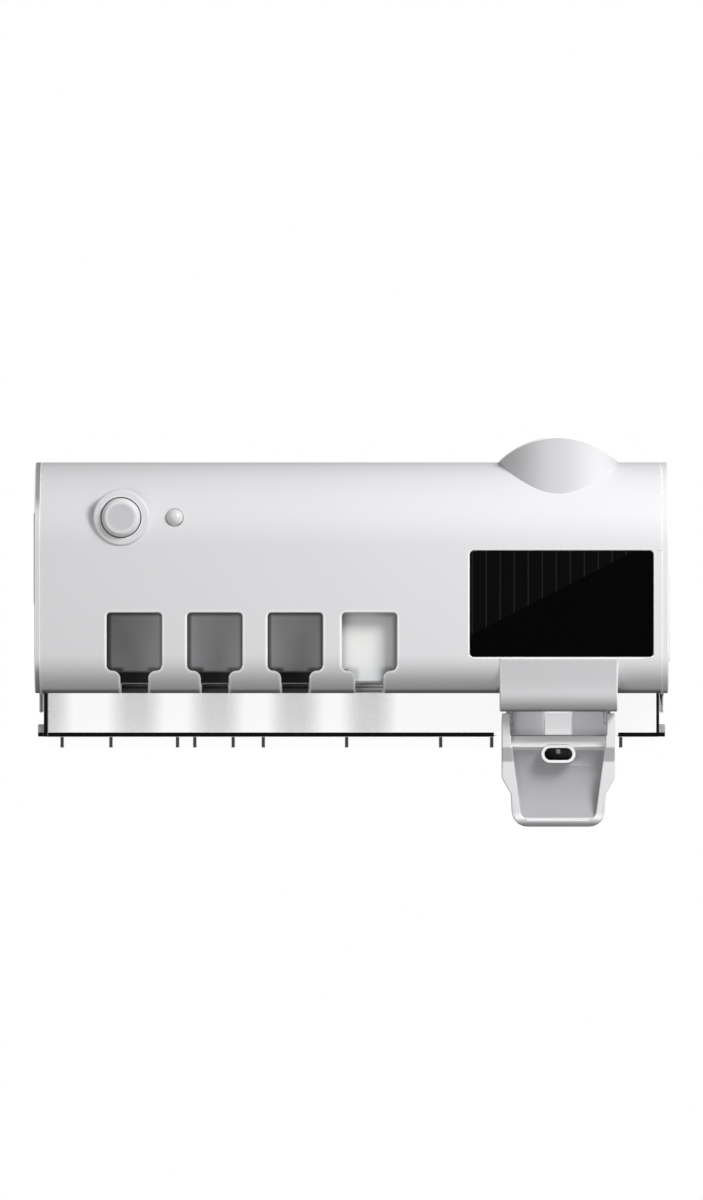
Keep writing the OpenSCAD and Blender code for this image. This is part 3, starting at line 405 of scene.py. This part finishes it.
def collar_painted_shade(finish, shade):
    """Painted shade makes the collar a little duller on its left."""
    return finish.mix(finish.x.rise(0.104, 0.088) * 0.2, shade, painted_shade_grey)


def button_painted_shade(finish, shade):
    """Painted shade makes the middle of the button duller than its rim."""
    across, along = finish.x - button_x, finish.z - button_z
    middle = (across * across + along * along).rise(0.0058 ** 2, 0.0050 ** 2)
    return finish.mix(middle * 0.28, shade, (0.2, 0.2, 0.21))


def cap_painted_shade(finish, shade):
    """Painted shade: dark strips on the left cap's outer lip, above and below its raised pad, and a dark
    lower edge on both caps."""
    lip_shade = abs(finish.x).rise(0.1274, 0.1279) * finish.x.rise(0.0, -0.001)
    ends = finish.z.rise(0.026, 0.034).over(finish.z.rise(-0.034, -0.040))
    low_edge_shade = 1 - finish.z.rise(casing_foot + 0.0003, casing_foot + 0.0016)
    return finish.mix((lip_shade * ends * 0.62).over(low_edge_shade * 0.8), shade, (0.07, 0.07, 0.075))


casing_grey = (0.735, 0.735, 0.75)
casing = moulding("satin white casing", casing_grey)
front_casing = moulding("satin white front", casing_grey, painted_light_and_shade=front_painted_light_and_shade)
cap_casing = moulding("satin white caps", casing_grey, painted_light_and_shade=cap_painted_shade)
collar_casing = moulding("satin white collar", casing_grey, painted_light_and_shade=collar_painted_shade)
# The casing's soft edges are glossier, and paler than the casing: the paler colour is a painted
# highlight.
casing_edge_highlight = moulding("casing's glossy edges with painted highlight", (0.94, 0.94, 0.945), 0.28, 0.000004, edge_painted_shade)
plate = moulding("plain wall plate plastic", (0.62, 0.62, 0.63), 0.5)
frame_grey = moulding("dark frame plastic", (0.30, 0.31, 0.33), 0.5)
pump_ivory = moulding("ivory pump plastic", (0.78, 0.76, 0.70), 0.35)


# %% Finishes for the lever, the outlet block and the liner
lever_face, block_foot, pan_top, low_rim_z = -0.0527, -0.0648, -0.0696, -0.0985
bore_half, bore_r, bore_back, bore_mouth = 0.00575, 0.0025, -0.0440, -0.0545


def lever_painted_light_and_shade(finish, shade):
    """Painted light and shade: painted light on the side fronts, brighter on the low rim and the band
    under the outlet block, painted shade on the pan, and painted light on the wall beside the block."""
    front = finish.y.rise(lever_face + 0.0005, lever_face - 0.0005)
    pan_shade = finish.z.rise(pan_top + 0.0006, pan_top - 0.0006) * (1 - front)
    wall_light = finish.z.rise(block_foot - 0.0002, block_foot + 0.0002) * (1 - front)
    between_sides = 1 - abs(finish.x - chute_x).rise(0.0195, 0.0200)
    band = finish.z.inside(pan_top - 0.0001, block_foot) * between_sides
    low_rim = finish.z.rise(low_rim_z + 0.0025, low_rim_z)
    front_light = finish.mix(low_rim.over(band), (0.77, 0.77, 0.78), (0.97, 0.97, 0.975))
    inner_light_and_shade = finish.mix(pan_shade, shade, (0.42, 0.42, 0.44))
    inner_light_and_shade = finish.mix(wall_light, inner_light_and_shade, (0.90, 0.90, 0.93))
    return finish.mix(front, inner_light_and_shade, front_light)


def nozzle_painted_shade(finish, shade):
    """Painted shade makes the walls of the outlet's oval bore black."""
    across, along = abs(finish.x - chute_x), abs(finish.z - outlet_z)
    hole = box_distance(across, along, bore_half, bore_r, bore_r).rise(0.00004, -0.00004)
    deep_shade = finish.y.rise(bore_back + 0.0004, bore_back) * finish.y.rise(bore_mouth - 0.0003, bore_mouth)
    return finish.mix(hole * deep_shade, shade, (0.003, 0.003, 0.003))


def liner_painted_shade(finish, shade):
    """Painted shade: the liner is darker close to the sides of the windows, and almost black below their
    shoulders."""
    distance = window_distance(finish)
    side = distance.rise(-0.0020, -0.0003) * 0.75
    low = 1 - finish.z.rise(shoulder - 0.0012, shoulder + 0.0004)
    return finish.mix(side.over(low), shade, (0.012, 0.012, 0.014))


lever_grey = moulding("lilac grey lever plastic", (0.53, 0.53, 0.555), 0.40, painted_light_and_shade=lever_painted_light_and_shade)
nozzle_white = moulding("bright white nozzle plastic", (0.95, 0.95, 0.95), 0.33, painted_light_and_shade=nozzle_painted_shade,
                        Emission_Strength=1.0)
# The photograph shows the outlet block brighter than the lamps make it, so its upper part gives off
# a little light of its own.
block_glow = nozzle_white.z.rise(block_foot - 0.0004, block_foot + 0.0002)
nozzle_white.feed(Emission_Color=nozzle_white.mix(block_glow, (0, 0, 0), (0.29, 0.29, 0.30)))
liner_grey = moulding("grey liner plastic", (0.74, 0.74, 0.76), 0.5, painted_light_and_shade=liner_painted_shade)
print("moulded finishes:", len(bpy.data.materials))

# %% [markdown]
# ## Metal, rubber, foam and boards
#
# These mostly sit inside the casing. Each still has its own way of being made: turned steel keeps
# fine streaks, rubber is matt with dust-fine grain, foam has closed cells, and a circuit board is
# green lacquer over glass weave with bright pads.

# %% Finishes for the inner pieces


def steel_finish():
    """Turned steel: full metal, with fine streaks that vary its roughness and height."""
    finish = Finish("turned steel", Metallic=1.0)
    shade = 0.62
    streaks = finish.noise(900, 2, stretch=(1.0, 0.08, 1.0))
    tint = finish.noise(60, 1)
    return finish.feed(Base_Color=finish.mix(tint, (shade, shade, shade * 1.02), (shade * 1.12,) * 3),
                       Roughness=0.22 + streaks * 0.16).bump(streaks, 0.000008)


def rubber_finish(name, colour, rough=0.62):
    """Soft moulded rubber: matt, with a dusty grain and slightly paler worn patches."""
    finish = Finish(name, Specular_IOR_Level=0.35)
    worn = finish.noise(90, 3)
    paler = tuple(c * 1.15 + 0.01 for c in colour)
    return finish.feed(Base_Color=finish.mix(worn, colour, paler),
                       Roughness=rough - 0.06 + worn * 0.12).bump(finish.noise(3200, 2), 0.00002)


def silicone_finish():
    """Milky silicone: light passes a little way into it, so it glows at thin edges."""
    finish = Finish("milky silicone", Roughness=0.38, Subsurface_Weight=0.25, Subsurface_Scale=0.002)
    cloud = finish.noise(220, 3)
    milk = finish.mix(cloud, (0.82, 0.83, 0.82), (0.92, 0.92, 0.90))
    return finish.feed(Base_Color=milk).bump(cloud, 0.00002)


def foam_finish():
    """Closed-cell foam: rounded cells as a height pattern, with painted shade in the gaps between them.
    """
    finish = Finish("grey foam pad", Roughness=0.9)
    spread = {"Vector": finish.place, "Scale": 900}
    cells = finish.node("TexVoronoi", {"feature": "DISTANCE_TO_EDGE"}, spread).rise(0.0, 0.35)
    grey = finish.mix(cells, (0.16, 0.16, 0.17), (0.34, 0.34, 0.35))
    return finish.feed(Base_Color=grey).bump(cells, 0.00012)


def board_finish():
    """Green lacquered board: glass weave under the lacquer, and tinned pads on a fine raster."""
    finish = Finish("green circuit board", Specular_IOR_Level=0.5)
    pitch = 0.00254
    across = abs(finish.x % pitch - pitch / 2)
    along = abs(finish.z % pitch - pitch / 2)
    spots = 1 - (across * across + along * along).rise(0.00038 ** 2, 0.00052 ** 2)
    pads = spots * finish.noise(160, 1).rise(0.52, 0.58)
    weave = finish.noise(1400, 1, stretch=(1, 1, 0.2))
    green = finish.mix(weave, (0.012, 0.10, 0.045), (0.02, 0.15, 0.065))
    return finish.feed(Base_Color=finish.mix(pads, green, (0.62, 0.62, 0.60)), Metallic=pads * 0.9,
                       Roughness=0.32 - pads * 0.08).bump(pads + weave * 0.2, 0.00003)


def led_finish():
    """Lamp package: pale ceramic with the yellow of its phosphor in fine grains."""
    finish = Finish("lamp ceramic", Roughness=0.35)
    grain = finish.noise(1500, 2)
    ceramic = finish.mix(grain, (0.80, 0.72, 0.38), (0.90, 0.86, 0.62))
    return finish.feed(Base_Color=ceramic).bump(grain, 0.00001)


def wrap_finish():
    """Shrink-wrapped battery cell: a glossy blue sleeve with tight small wrinkles."""
    finish = Finish("battery sleeve", Specular_IOR_Level=0.5)
    wrinkles = finish.noise(500, 3, stretch=(0.25, 1, 1))
    return finish.feed(Base_Color=finish.mix(wrinkles, (0.02, 0.09, 0.30), (0.03, 0.13, 0.40)),
                       Roughness=0.2 + wrinkles * 0.15).bump(wrinkles, 0.00006)


steel = steel_finish()
seal_black = rubber_finish("black seal rubber", (0.02, 0.02, 0.021))
cover_white = rubber_finish("pale cover rubber", (0.72, 0.72, 0.73), 0.55)
sheath = rubber_finish("lead sheath", (0.05, 0.05, 0.055), 0.5)
silicone, foam, board = silicone_finish(), foam_finish(), board_finish()
lamp, sleeve = led_finish(), wrap_finish()
print("finishes so far:", len(bpy.data.materials))

# %% [markdown]
# ## The clear tray, the solar panel and the pale blank
#
# Clear plastic is easy to see through from the front, but its cut edges gather the dark of the room and
# look almost black. Glass shaders show that only in a real room, so here the finish paints that dark
# reflection where the edges are, and where the ribs below the floor come to the front. The solar panel
# is black glass over a cell, and a painted reflection makes it paler above a slanting edge, where its
# fine lines show. The blank behind the fourth bay is pale plastic with painted light round its middle
# and painted shade towards its sides.

# %% Places on the tray and the panel, in metres
tray_low, tray_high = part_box("drip_tray")
solar_low, solar_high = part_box("solar_glass")
tray_ribs = [-0.1191, -0.0990, -0.0716, -0.0645, -0.0487, -0.0363, -0.0020, 0.0367, 0.0577, 0.1108]
tray_skirt, tray_wall, tray_line = 4.8 * MM, 2.4 * MM, 1.8 * MM
print("tray", [round(v / MM, 1) for v in (*tray_low, *tray_high)])

# %% Clear tray


def tray_finish():
    """Clear plastic: mostly see-through and faintly hazy, with painted shade grey below the bays and by
    the left wall, and a painted dark reflection in its cut edges and at the fronts of the ribs below its
    floor."""
    finish = Finish("clear tray plastic", Roughness=0.08, Specular_IOR_Level=0.25)
    floor_z, fine = tray_low[2] + tray_skirt, 0.1 * MM
    left_wall, right_wall = tray_low[0] + tray_wall, tray_high[0] - tray_wall
    front = finish.y.rise(tray_low[1] + tray_wall, tray_low[1] + 2.0 * MM)
    floor_edge = finish.z.inside(floor_z, floor_z + tray_line, fine)
    side_edge = (finish.x.inside(left_wall, left_wall + 1.9 * MM, fine)
                 .over(finish.x.inside(right_wall - 1.3 * MM, right_wall, fine)))
    side_edge = side_edge * finish.z.rise(floor_z, floor_z + 0.3 * MM)
    rib_height = finish.z.inside(floor_z - 4.4 * MM, floor_z)
    rib_edge = (1 - nearest(finish, tray_ribs).rise(0.55 * MM, 0.9 * MM)) * rib_height * 0.97
    # Painted dark reflection in the cut edges and at the ribs' fronts.
    body = floor_edge.over(side_edge).over(rib_edge) * front
    outside_walls = 1 - finish.x.inside(left_wall, right_wall, fine)
    nub = outside_walls * finish.z.rise(floor_z, floor_z + 0.2 * MM)
    # Painted shade below the bays and beside the left wall.
    patches = 1 - nearest(finish, [left_wall, *bays]).rise(0.002, 0.014)
    haze_and_shade = (finish.noise(35, 2) * 0.02 + patches * 0.15) * finish.z.rise(floor_z, floor_z + 0.4 * MM)
    grey = finish.mix(nub, (0.80, 0.81, 0.82), (0.42, 0.42, 0.43))
    colour = finish.mix(body, grey, (0.002, 0.002, 0.0024))
    cover = body.over(haze_and_shade).over(nub * 0.8).over(0.02)
    scratch = finish.noise(700, 2, stretch=(0.15, 1, 1))
    return finish.feed(Base_Color=colour, Alpha=cover).bump(scratch, 0.000006)


clear = tray_finish()
print("tray finish:", len(clear.tree.nodes), "nodes")

# %% Solar panel


def solar_finish():
    """Black glass with a painted reflection: a little paler above a slanting edge, where the cell's fine
    upright lines show."""
    finish = Finish("solar glass", Specular_IOR_Level=0.09)
    first_line, pitch = solar_low[0] + 6.6 * MM, 5.74 * MM
    left = finish.x - first_line
    lines = 1 - abs((left + pitch / 2) % pitch - pitch / 2).rise(0.12 * MM, 0.3 * MM)
    width, height = solar_high[0] - solar_low[0], solar_high[2] - solar_low[2]
    slope, edge_start = height * 0.80 / width / 0.90, 8.5 * MM
    above = finish.z - solar_low[2] - edge_start - (finish.x - solar_low[0]) * slope
    painted_reflection = above.rise(0.0, 0.4 * MM)
    shade = finish.mix(painted_reflection, (0.0004, 0.0004, 0.0004), (0.0022, 0.0023, 0.0022))
    colour = finish.mix(painted_reflection * lines * 0.8, shade, (0.018, 0.018, 0.018))
    smear = finish.noise(24, 3)
    return finish.feed(Base_Color=colour, Roughness=0.04 + smear * 0.05)


def cell_finish():
    """Silicon cell: dark blue-black crystal with silver bus bars."""
    finish = Finish("silicon cell", Roughness=0.3)
    bar_pitch = 0.0125
    bars = 1 - abs((finish.x + 0.002) % bar_pitch - bar_pitch / 2).rise(0.0003, 0.0006)
    crystal = finish.node("TexVoronoi", {}, {"Vector": finish.place, "Scale": 260}, "Color")
    flakes = finish.node("SeparateColor", inputs={0: crystal}, output="Red")
    dark = finish.mix(flakes, (0.004, 0.006, 0.014), (0.008, 0.012, 0.028))
    return finish.feed(Base_Color=finish.mix(bars, dark, (0.5, 0.5, 0.5)), Metallic=bars * 0.9)


solar_black, cell_blue = solar_finish(), cell_finish()
print("panel from", [round(v / MM, 1) for v in solar_low], "to", [round(v / MM, 1) for v in solar_high])

# %% Pale blank and lens


def blank_finish():
    """Pale plastic with painted light round its middle, and painted shade towards its sides, most on the
    right."""
    finish = Finish("blank plastic with painted light and shade", Roughness=0.5)
    across = (finish.x - bays[3] + 0.0012) / 0.0115
    along = (finish.z + 0.0255) / 0.0150
    middle = 1 - (across * across + along * along).rise(0.0, 1.25)
    right = finish.x.rise(bays[3], bays[3] + 0.010)
    side = window_distance(finish).rise(-0.0026, -0.0002) * (0.25 + right * 0.3)
    grain = finish.noise(2400, 2)
    pale = finish.mix(middle, (0.66, 0.67, 0.68), (0.80, 0.80, 0.79))
    return finish.feed(Base_Color=finish.mix(side, pale, (0.06, 0.06, 0.065))).bump(grain, 0.00001)


def lens_finish():
    """Milky lens: smooth white plastic that lets infra-red through, a little translucent."""
    finish = Finish("milky lens", Roughness=0.22, Subsurface_Weight=0.15, Subsurface_Scale=0.001)
    cloud = finish.noise(400, 2)
    return finish.feed(Base_Color=finish.mix(cloud, (0.70, 0.70, 0.71), (0.76, 0.76, 0.76)))


blank_pale, lens_white = blank_finish(), lens_finish()
button_white = moulding("button plastic", (0.76, 0.76, 0.775), 0.34, 0.000006, button_painted_shade)
print("finishes:", len(bpy.data.materials))

# %% [markdown]
# ## Every node gets its finish
#
# The record names a material slot for each node. One table from slot to finish dresses all
# 46 nodes at once, and the pieces made later take theirs from the same table.

# %% Dress the nodes
finish_for = {
    "foam": foam, "plate_plastic": plate, "casing_plastic": casing, "frame_plastic": frame_grey,
    "pump_plastic": pump_ivory, "silicone": silicone, "seal_rubber": seal_black, "steel": steel,
    "lever_plastic": lever_grey, "nozzle_plastic": nozzle_white, "clear_plastic": clear,
    "liner_plastic": liner_grey, "blank_plastic": blank_pale, "circuit_board": board,
    "led_ceramic": lamp, "button_plastic": button_white, "lens_plastic": lens_white,
    "battery_wrap": sleeve, "silicon": cell_blue, "solar_glass": solar_black,
    "cover_rubber": cover_white, "lead_sheath": sheath,
}


def dress(piece, slot):
    """Puts a slot's finish on every face of a piece."""
    piece.data.materials.clear()
    piece.data.materials.append(finish_for[slot].material)


for name, node in nodes.items():
    dress(node, slot_of[name])
dress(nodes["battery_holder"], "frame_plastic")
own_finish = {"front_shell": front_casing, "left_end_cap": cap_casing, "right_end_cap": cap_casing,
              "tube_collar": collar_casing}
for name, finish in own_finish.items():
    nodes[name].data.materials[0] = finish.material
print("dressed", len(nodes), "nodes from", len(finish_for), "slots")

# %% [markdown]
# ## Soft edges on the mouldings
#
# No moulded edge is sharp: the mould has a small radius there, and it catches the light as a thin
# bright line. A bevel on the whole mesh would round every edge alike, but here the rims of the
# brush windows are much softer than the rest. So each edge of a merged copy gets its own bevel
# weight, from its angle and its place, and one Bevel modifier turns the weights into radii.

# %% Copies with soft edges


def stands_in(piece, *names):
    """A finished piece takes the body, the slot and the finish of the nodes that it replaces."""
    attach(piece, body_of(nodes[names[0]])[0])
    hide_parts(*names)
    if not piece.data.materials:
        dress(piece, slot_of[names[0]])


edge_turn = math.radians(30)


def softened(name, radius, soft=None, soft_radius=None, skin_of=None, cuts=(), leave=None):
    """A merged copy of a node whose edges over 30 degrees are bevelled to radius, and those that
    soft picks to soft_radius. soft takes the edges' end points and answers with a mask. Where
    skin_of is given, the shading follows that formula instead of the flat faces of the copy. Each
    cut, an axis and a place on it, ends the large faces there, so a bevel bends only small ones, and
    edges that leave picks stay sharp."""
    mesh = nodes[name].data.copy()
    shape = bmesh.new()
    shape.from_mesh(mesh)
    bmesh.ops.remove_doubles(shape, verts=shape.verts, dist=1e-6)
    bmesh.ops.dissolve_limit(shape, angle_limit=math.radians(0.4), verts=shape.verts, edges=shape.edges)
    for axis, place in cuts:
        bmesh.ops.bisect_plane(shape, geom=[*shape.verts, *shape.edges, *shape.faces],
                               plane_co=np.eye(3)[axis] * place, plane_no=np.eye(3)[axis])
    shape.normal_update()
    turns = np.array([edge.calc_face_angle(0.0) for edge in shape.edges])
    ends = np.array([[v.co for v in edge.verts] for edge in shape.edges])
    widest = max(radius, soft_radius or 0)
    weights = np.where(turns > edge_turn, radius / widest, 0.0)
    if soft:
        weights = np.where((turns > edge_turn) & soft(ends), 1.0, weights)
    if leave:
        weights = np.where(leave(ends), 0.0, weights)
    shape.to_mesh(mesh)
    shape.free()
    mesh.attributes.new("bevel_weight_edge", "FLOAT", "EDGE").data.foreach_set("value", weights)
    mesh.shade_smooth()
    piece = bpy.data.objects.new(name + "_soft", mesh)
    bpy.context.scene.collection.objects.link(piece)
    dress(piece, slot_of[name])
    if name in own_finish:
        piece.data.materials[0] = own_finish[name].material
    bevel = piece.modifiers.new("soft edges", "BEVEL")
    bevel.limit_method, bevel.width, bevel.segments = "WEIGHT", widest, 3
    bevel.use_clamp_overlap = False
    # The casing's bevel faces take the paler edge colour, a painted highlight.
    if slot_of[name] == "casing_plastic":
        piece.data.materials.append(casing_edge_highlight.material)
        bevel.material = 1
    flat = piece.modifiers.new("flat faces stay flat", "WEIGHTED_NORMAL")
    flat.weight, flat.keep_sharp = 100, True
    if skin_of:
        shade_by_formula(piece, skin_of)
    stands_in(piece, name)
    print(f"{piece.name}: {len(piece.data.polygons)} faces, {int((weights > 0).sum())} edges softened")


skin_reach, skin_facing = 0.00006, 0.97


def shade_by_formula(piece, skin_of):
    """Applies the modifiers, then gives every face corner that lies in the skin the skin's own
    outward direction. skin_of takes points and answers with directions and distances."""
    baked = bpy.data.meshes.new_from_object(piece.evaluated_get(bpy.context.evaluated_depsgraph_get()))
    piece.modifiers.clear()
    piece.data = baked
    corners = len(baked.loops)
    normals, vertex = np.empty(corners * 3), np.empty(corners, int)
    places, faces = np.empty(len(baked.vertices) * 3), np.empty(len(baked.polygons) * 3)
    sizes = np.empty(len(baked.polygons), int)
    baked.corner_normals.foreach_get("vector", normals)
    baked.loops.foreach_get("vertex_index", vertex)
    baked.vertices.foreach_get("co", places)
    baked.polygons.foreach_get("normal", faces)
    baked.polygons.foreach_get("loop_total", sizes)
    normals, places = normals.reshape(-1, 3), places.reshape(-1, 3)[vertex]
    faces = np.repeat(faces.reshape(-1, 3), sizes, axis=0)
    direction, distance = skin_of(places)
    follows = (distance < skin_reach) & ((faces * direction).sum(1) > skin_facing)
    baked.normals_split_custom_set(np.where(follows[:, None], direction, normals).tolist())
    print(f"{piece.name}: {int(follows.sum())} of {corners} corners shaded by formula")


def casing_skin(points):
    """The casing's outside: the way ahead on the flat front, and the way out from the axis of the
    long rounding above it and of the one below it, which is lower and tighter on the chute."""
    depth, z = -points[:, 1], points[:, 2]
    chute, up = np.abs(points[:, 0] - chute_x) < chute_half + 0.00015, z > top_z
    radius = np.where(up, top_r, np.where(chute, chute_r, low_r))
    rise = np.where(up, z - top_z, np.minimum(z - np.where(chute, chute_z, low_z), 0))
    ahead = np.maximum(depth - front_depth + radius, 0)
    turning = (rise != 0) & (ahead > 0)
    off = np.where(turning, np.abs(np.hypot(ahead, rise) - radius),
                   np.where(rise != 0, np.abs(np.abs(rise) - radius), np.abs(depth - front_depth)))
    ahead = np.where(turning, ahead, np.where(rise != 0, 0, 1.0))
    length = np.hypot(ahead, rise)
    return np.stack([0 * ahead, -ahead / length, rise / length], -1), off


def collar_skin(points):
    """The collar's outside and inside: straight away from its upright axis, or towards it."""
    across, along = points[:, 0] - chute_x, points[:, 1] + collar_depth
    reach = np.hypot(across, along)
    way = np.where(reach < (collar_out + collar_in) / 2, -1, 1)
    off = np.minimum(np.abs(reach - collar_out), np.abs(reach - collar_in))
    return np.stack([way * across / reach, way * along / reach, 0 * reach], -1), off


# %% Which edges are soft, and which stay sharp


def on_window_rim(ends):
    """Edges of the brush windows that lie in the casing's outer skin."""
    x, depth, z = ends[..., 0], -ends[..., 1], ends[..., 2]
    bend = front_depth - low_r + np.sqrt(np.maximum(low_r ** 2 - (z - low_z) ** 2, 0))
    skin_depth = np.where(z > low_z, front_depth, bend)
    near = np.min([np.abs(x - bay) for bay in bays], axis=0) < slot_half + 0.0003
    height = (z < slot_top + 0.0001) & (z > casing_foot + 0.0001)
    return (near & height & (np.abs(depth - skin_depth) < 0.00015)).all(axis=1)


def on_panel_rim(ends):
    """Edges round the solar panel's recess, in the flat front."""
    x, depth, z = ends[..., 0], -ends[..., 1], ends[..., 2]
    inside = (x > solar_low[0] - 0.001) & (x < solar_high[0] + 0.001)
    inside &= (z > solar_low[2] - 0.001) & (z < solar_high[2] + 0.001)
    return (inside & (np.abs(depth - front_depth) < 0.00005)).all(axis=1)


def stays_sharp(ends):
    """Edges at the foot of the button's boss, round the lens's hole, under the collar, and along the
    windows' shoulders, whose short edges a bevel would fold over each other."""
    x, y, z = ends[..., 0], ends[..., 1], ends[..., 2]
    boss = (np.hypot(x - button_x, z - button_z) < 0.0118) & (-y < front_depth + 0.0003)
    hole = np.hypot(x - lens_x, z - button_z) < 0.0048
    collar = (np.hypot(x - chute_x, y + collar_depth) < collar_out + 0.0010) & (z > 0.020)
    level = (z > low_z - 0.0001).all(axis=1) | (np.ptp(x, axis=1) < 0.00001)
    return (boss | hole | collar).all(axis=1) | (on_window_rim(ends) & ~level)


def at_outlet(ends):
    """Edges round the outlet's hole in the lever, which the lip covers."""
    x, z = ends[..., 0], ends[..., 2]
    return ((np.abs(x - chute_x) < 0.0085) & (np.abs(z - outlet_z) < 0.0052)).all(axis=1)


# %% Soft-edged copies
slot_cut, chute_cut, boss_cut = 0.0135, 0.026, 0.0140
middles = [*((bay, slot_cut) for bay in bays), (chute_x, chute_cut), (button_x, boss_cut)]
cuts = [(0, middle + side * away) for middle, away in middles for side in (-1, 1)]
cuts += [(2, button_z + side * 0.0136) for side in (-1, 1)]
softened("front_shell", 0.00035, lambda ends: on_window_rim(ends) | on_panel_rim(ends), 0.0007,
         casing_skin, cuts, stays_sharp)
for name in ("left_end_cap", "right_end_cap"):
    softened(name, 0.0004, skin_of=casing_skin)
softened("tube_collar", 0.0005, skin_of=collar_skin)
softened("push_lever", 0.0005, leave=at_outlet)
for name, radius in {"back_shell": 0.0003, "outlet_nozzle": 0.0003, "drip_tray": 0.0003,
                     "chamber_liner": 0.0003, "slot_blank": 0.0002, "port_cover": 0.0003,
                     "wall_plate": 0.0004, "outlet_lip": 0.0004}.items():
    softened(name, radius)

# %% [markdown]
# ## Surfaces from formulas
#
# The button and the lens are bodies of revolution, so each is worked out as a surface of two
# parameters: the angle round its axis, and the way along its profile.

# %% A mesh from a grid of points


def skin(name, points, closed=True):
    """A mesh over a grid of points: every cell of four neighbours becomes a face. A closed grid
    joins its last column to its first, and points that meet at a pole become one."""
    index = np.arange(points.shape[0] * points.shape[1]).reshape(points.shape[:2])
    if closed:
        index = np.hstack([index, index[:, :1]])
    faces = np.stack([index[:-1, :-1], index[:-1, 1:], index[1:, 1:], index[1:, :-1]], -1).reshape(-1, 4)
    mesh = bpy.data.meshes.new(name)
    mesh.from_pydata(points.reshape(-1, 3).tolist(), [], faces.tolist())
    shape = bmesh.new()
    shape.from_mesh(mesh)
    bmesh.ops.remove_doubles(shape, verts=shape.verts, dist=1e-7)
    bmesh.ops.recalc_face_normals(shape, faces=shape.faces)
    shape.to_mesh(mesh)
    shape.free()
    mesh.shade_smooth()
    piece = bpy.data.objects.new(name, mesh)
    bpy.context.scene.collection.objects.link(piece)
    print(f"{name}: {len(mesh.polygons)} faces")
    return piece


def turned(name, x, z, radii, depths):
    """Revolution round an axis that points at the viewer: the profile's radius goes round in a
    circle, x + r cos a and z + r sin a, and its depth stays as y."""
    steps = 128
    angle = np.linspace(0, 2 * np.pi, steps, endpoint=False)[None, :]
    radii, depths = np.asarray(radii)[:, None], np.asarray(depths)[:, None]
    circles = [x + radii * np.cos(angle), -depths + 0 * angle, z + radii * np.sin(angle)]
    return skin(name, np.stack(circles, -1))


def corner(centre_r, centre_d, radius, start, end, steps):
    """Points of an arc in a profile: the centre plus radius times cosine and sine of the angle."""
    angle = np.radians(np.linspace(start, end, steps))
    return list(zip(centre_r + radius * np.cos(angle), centre_d + radius * np.sin(angle)))


# %% Power button
button_low, button_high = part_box("power_button")
stem_d, face_d = -button_high[1], -button_low[1]
stem_r, flange_r, cap_r, dish_r = 0.002, 0.0098, 0.008, 0.0030
flange_d, flange_t = 0.06212, 0.0018
rim_r, rim_d = 0.0031, face_d - 0.0024
profile = [(0, stem_d), (stem_r, stem_d), (stem_r, flange_d - flange_t), (flange_r, flange_d - flange_t),
           (flange_r, flange_d), (cap_r, flange_d), (cap_r, rim_d)]
profile += corner(cap_r - rim_r, rim_d, rim_r, 8, 62, 10)
profile += [(cap_r - rim_r, face_d - 0.0001), (dish_r, face_d), (0, face_d)]
cap = turned("power_button_cap", button_x, button_z, *np.transpose(profile))
stands_in(cap, "power_button")
print("button face at", round(face_d / MM, 2), "mm")

# %% Sensor lens
lens_low, lens_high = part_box("sensor_lens")
lens_r, base_r, base_d, base_t = 0.00355, 0.0041, -lens_high[1], 0.0015
profile = [(0, base_d), (base_r, base_d), (base_r, base_d + base_t), (lens_r, base_d + base_t)]
profile += corner(0, -lens_low[1] - lens_r, lens_r, 0, 90, 24)
dome = turned("sensor_lens_dome", lens_x, button_z, *np.transpose(profile))
stands_in(dome, "sensor_lens")
print("lens dome", round(lens_r / MM, 2), "mm in radius")

# %% [markdown]
# ## The floor
#
# The object hangs in front of plain white. A pale floor far below it shows only from other angles.
# It belongs to the stage and not to the object, and neither its bounced light nor its mirror image
# reaches the object.

# %% Floor
floor_level, floor_half, floor_back = -0.42, 2.0, 1.2
grid = [[(x, y, floor_level) for x in (-floor_half, floor_half)] for y in (-floor_half, floor_back)]
floor = skin("floor", np.array(grid), closed=False)
floor_finish = Finish("pale floor", Roughness=0.7, Emission_Color=(1, 1, 1, 1), Emission_Strength=0.4)
floor_pale = floor_finish.mix(floor_finish.noise(3, 2), (0.80, 0.80, 0.80), (0.84, 0.84, 0.84))
floor_finish.feed(Base_Color=floor_pale)
floor.data.materials.append(floor_finish.material)
floor.visible_diffuse = floor.visible_glossy = False
print("floor at", floor_level, "m")
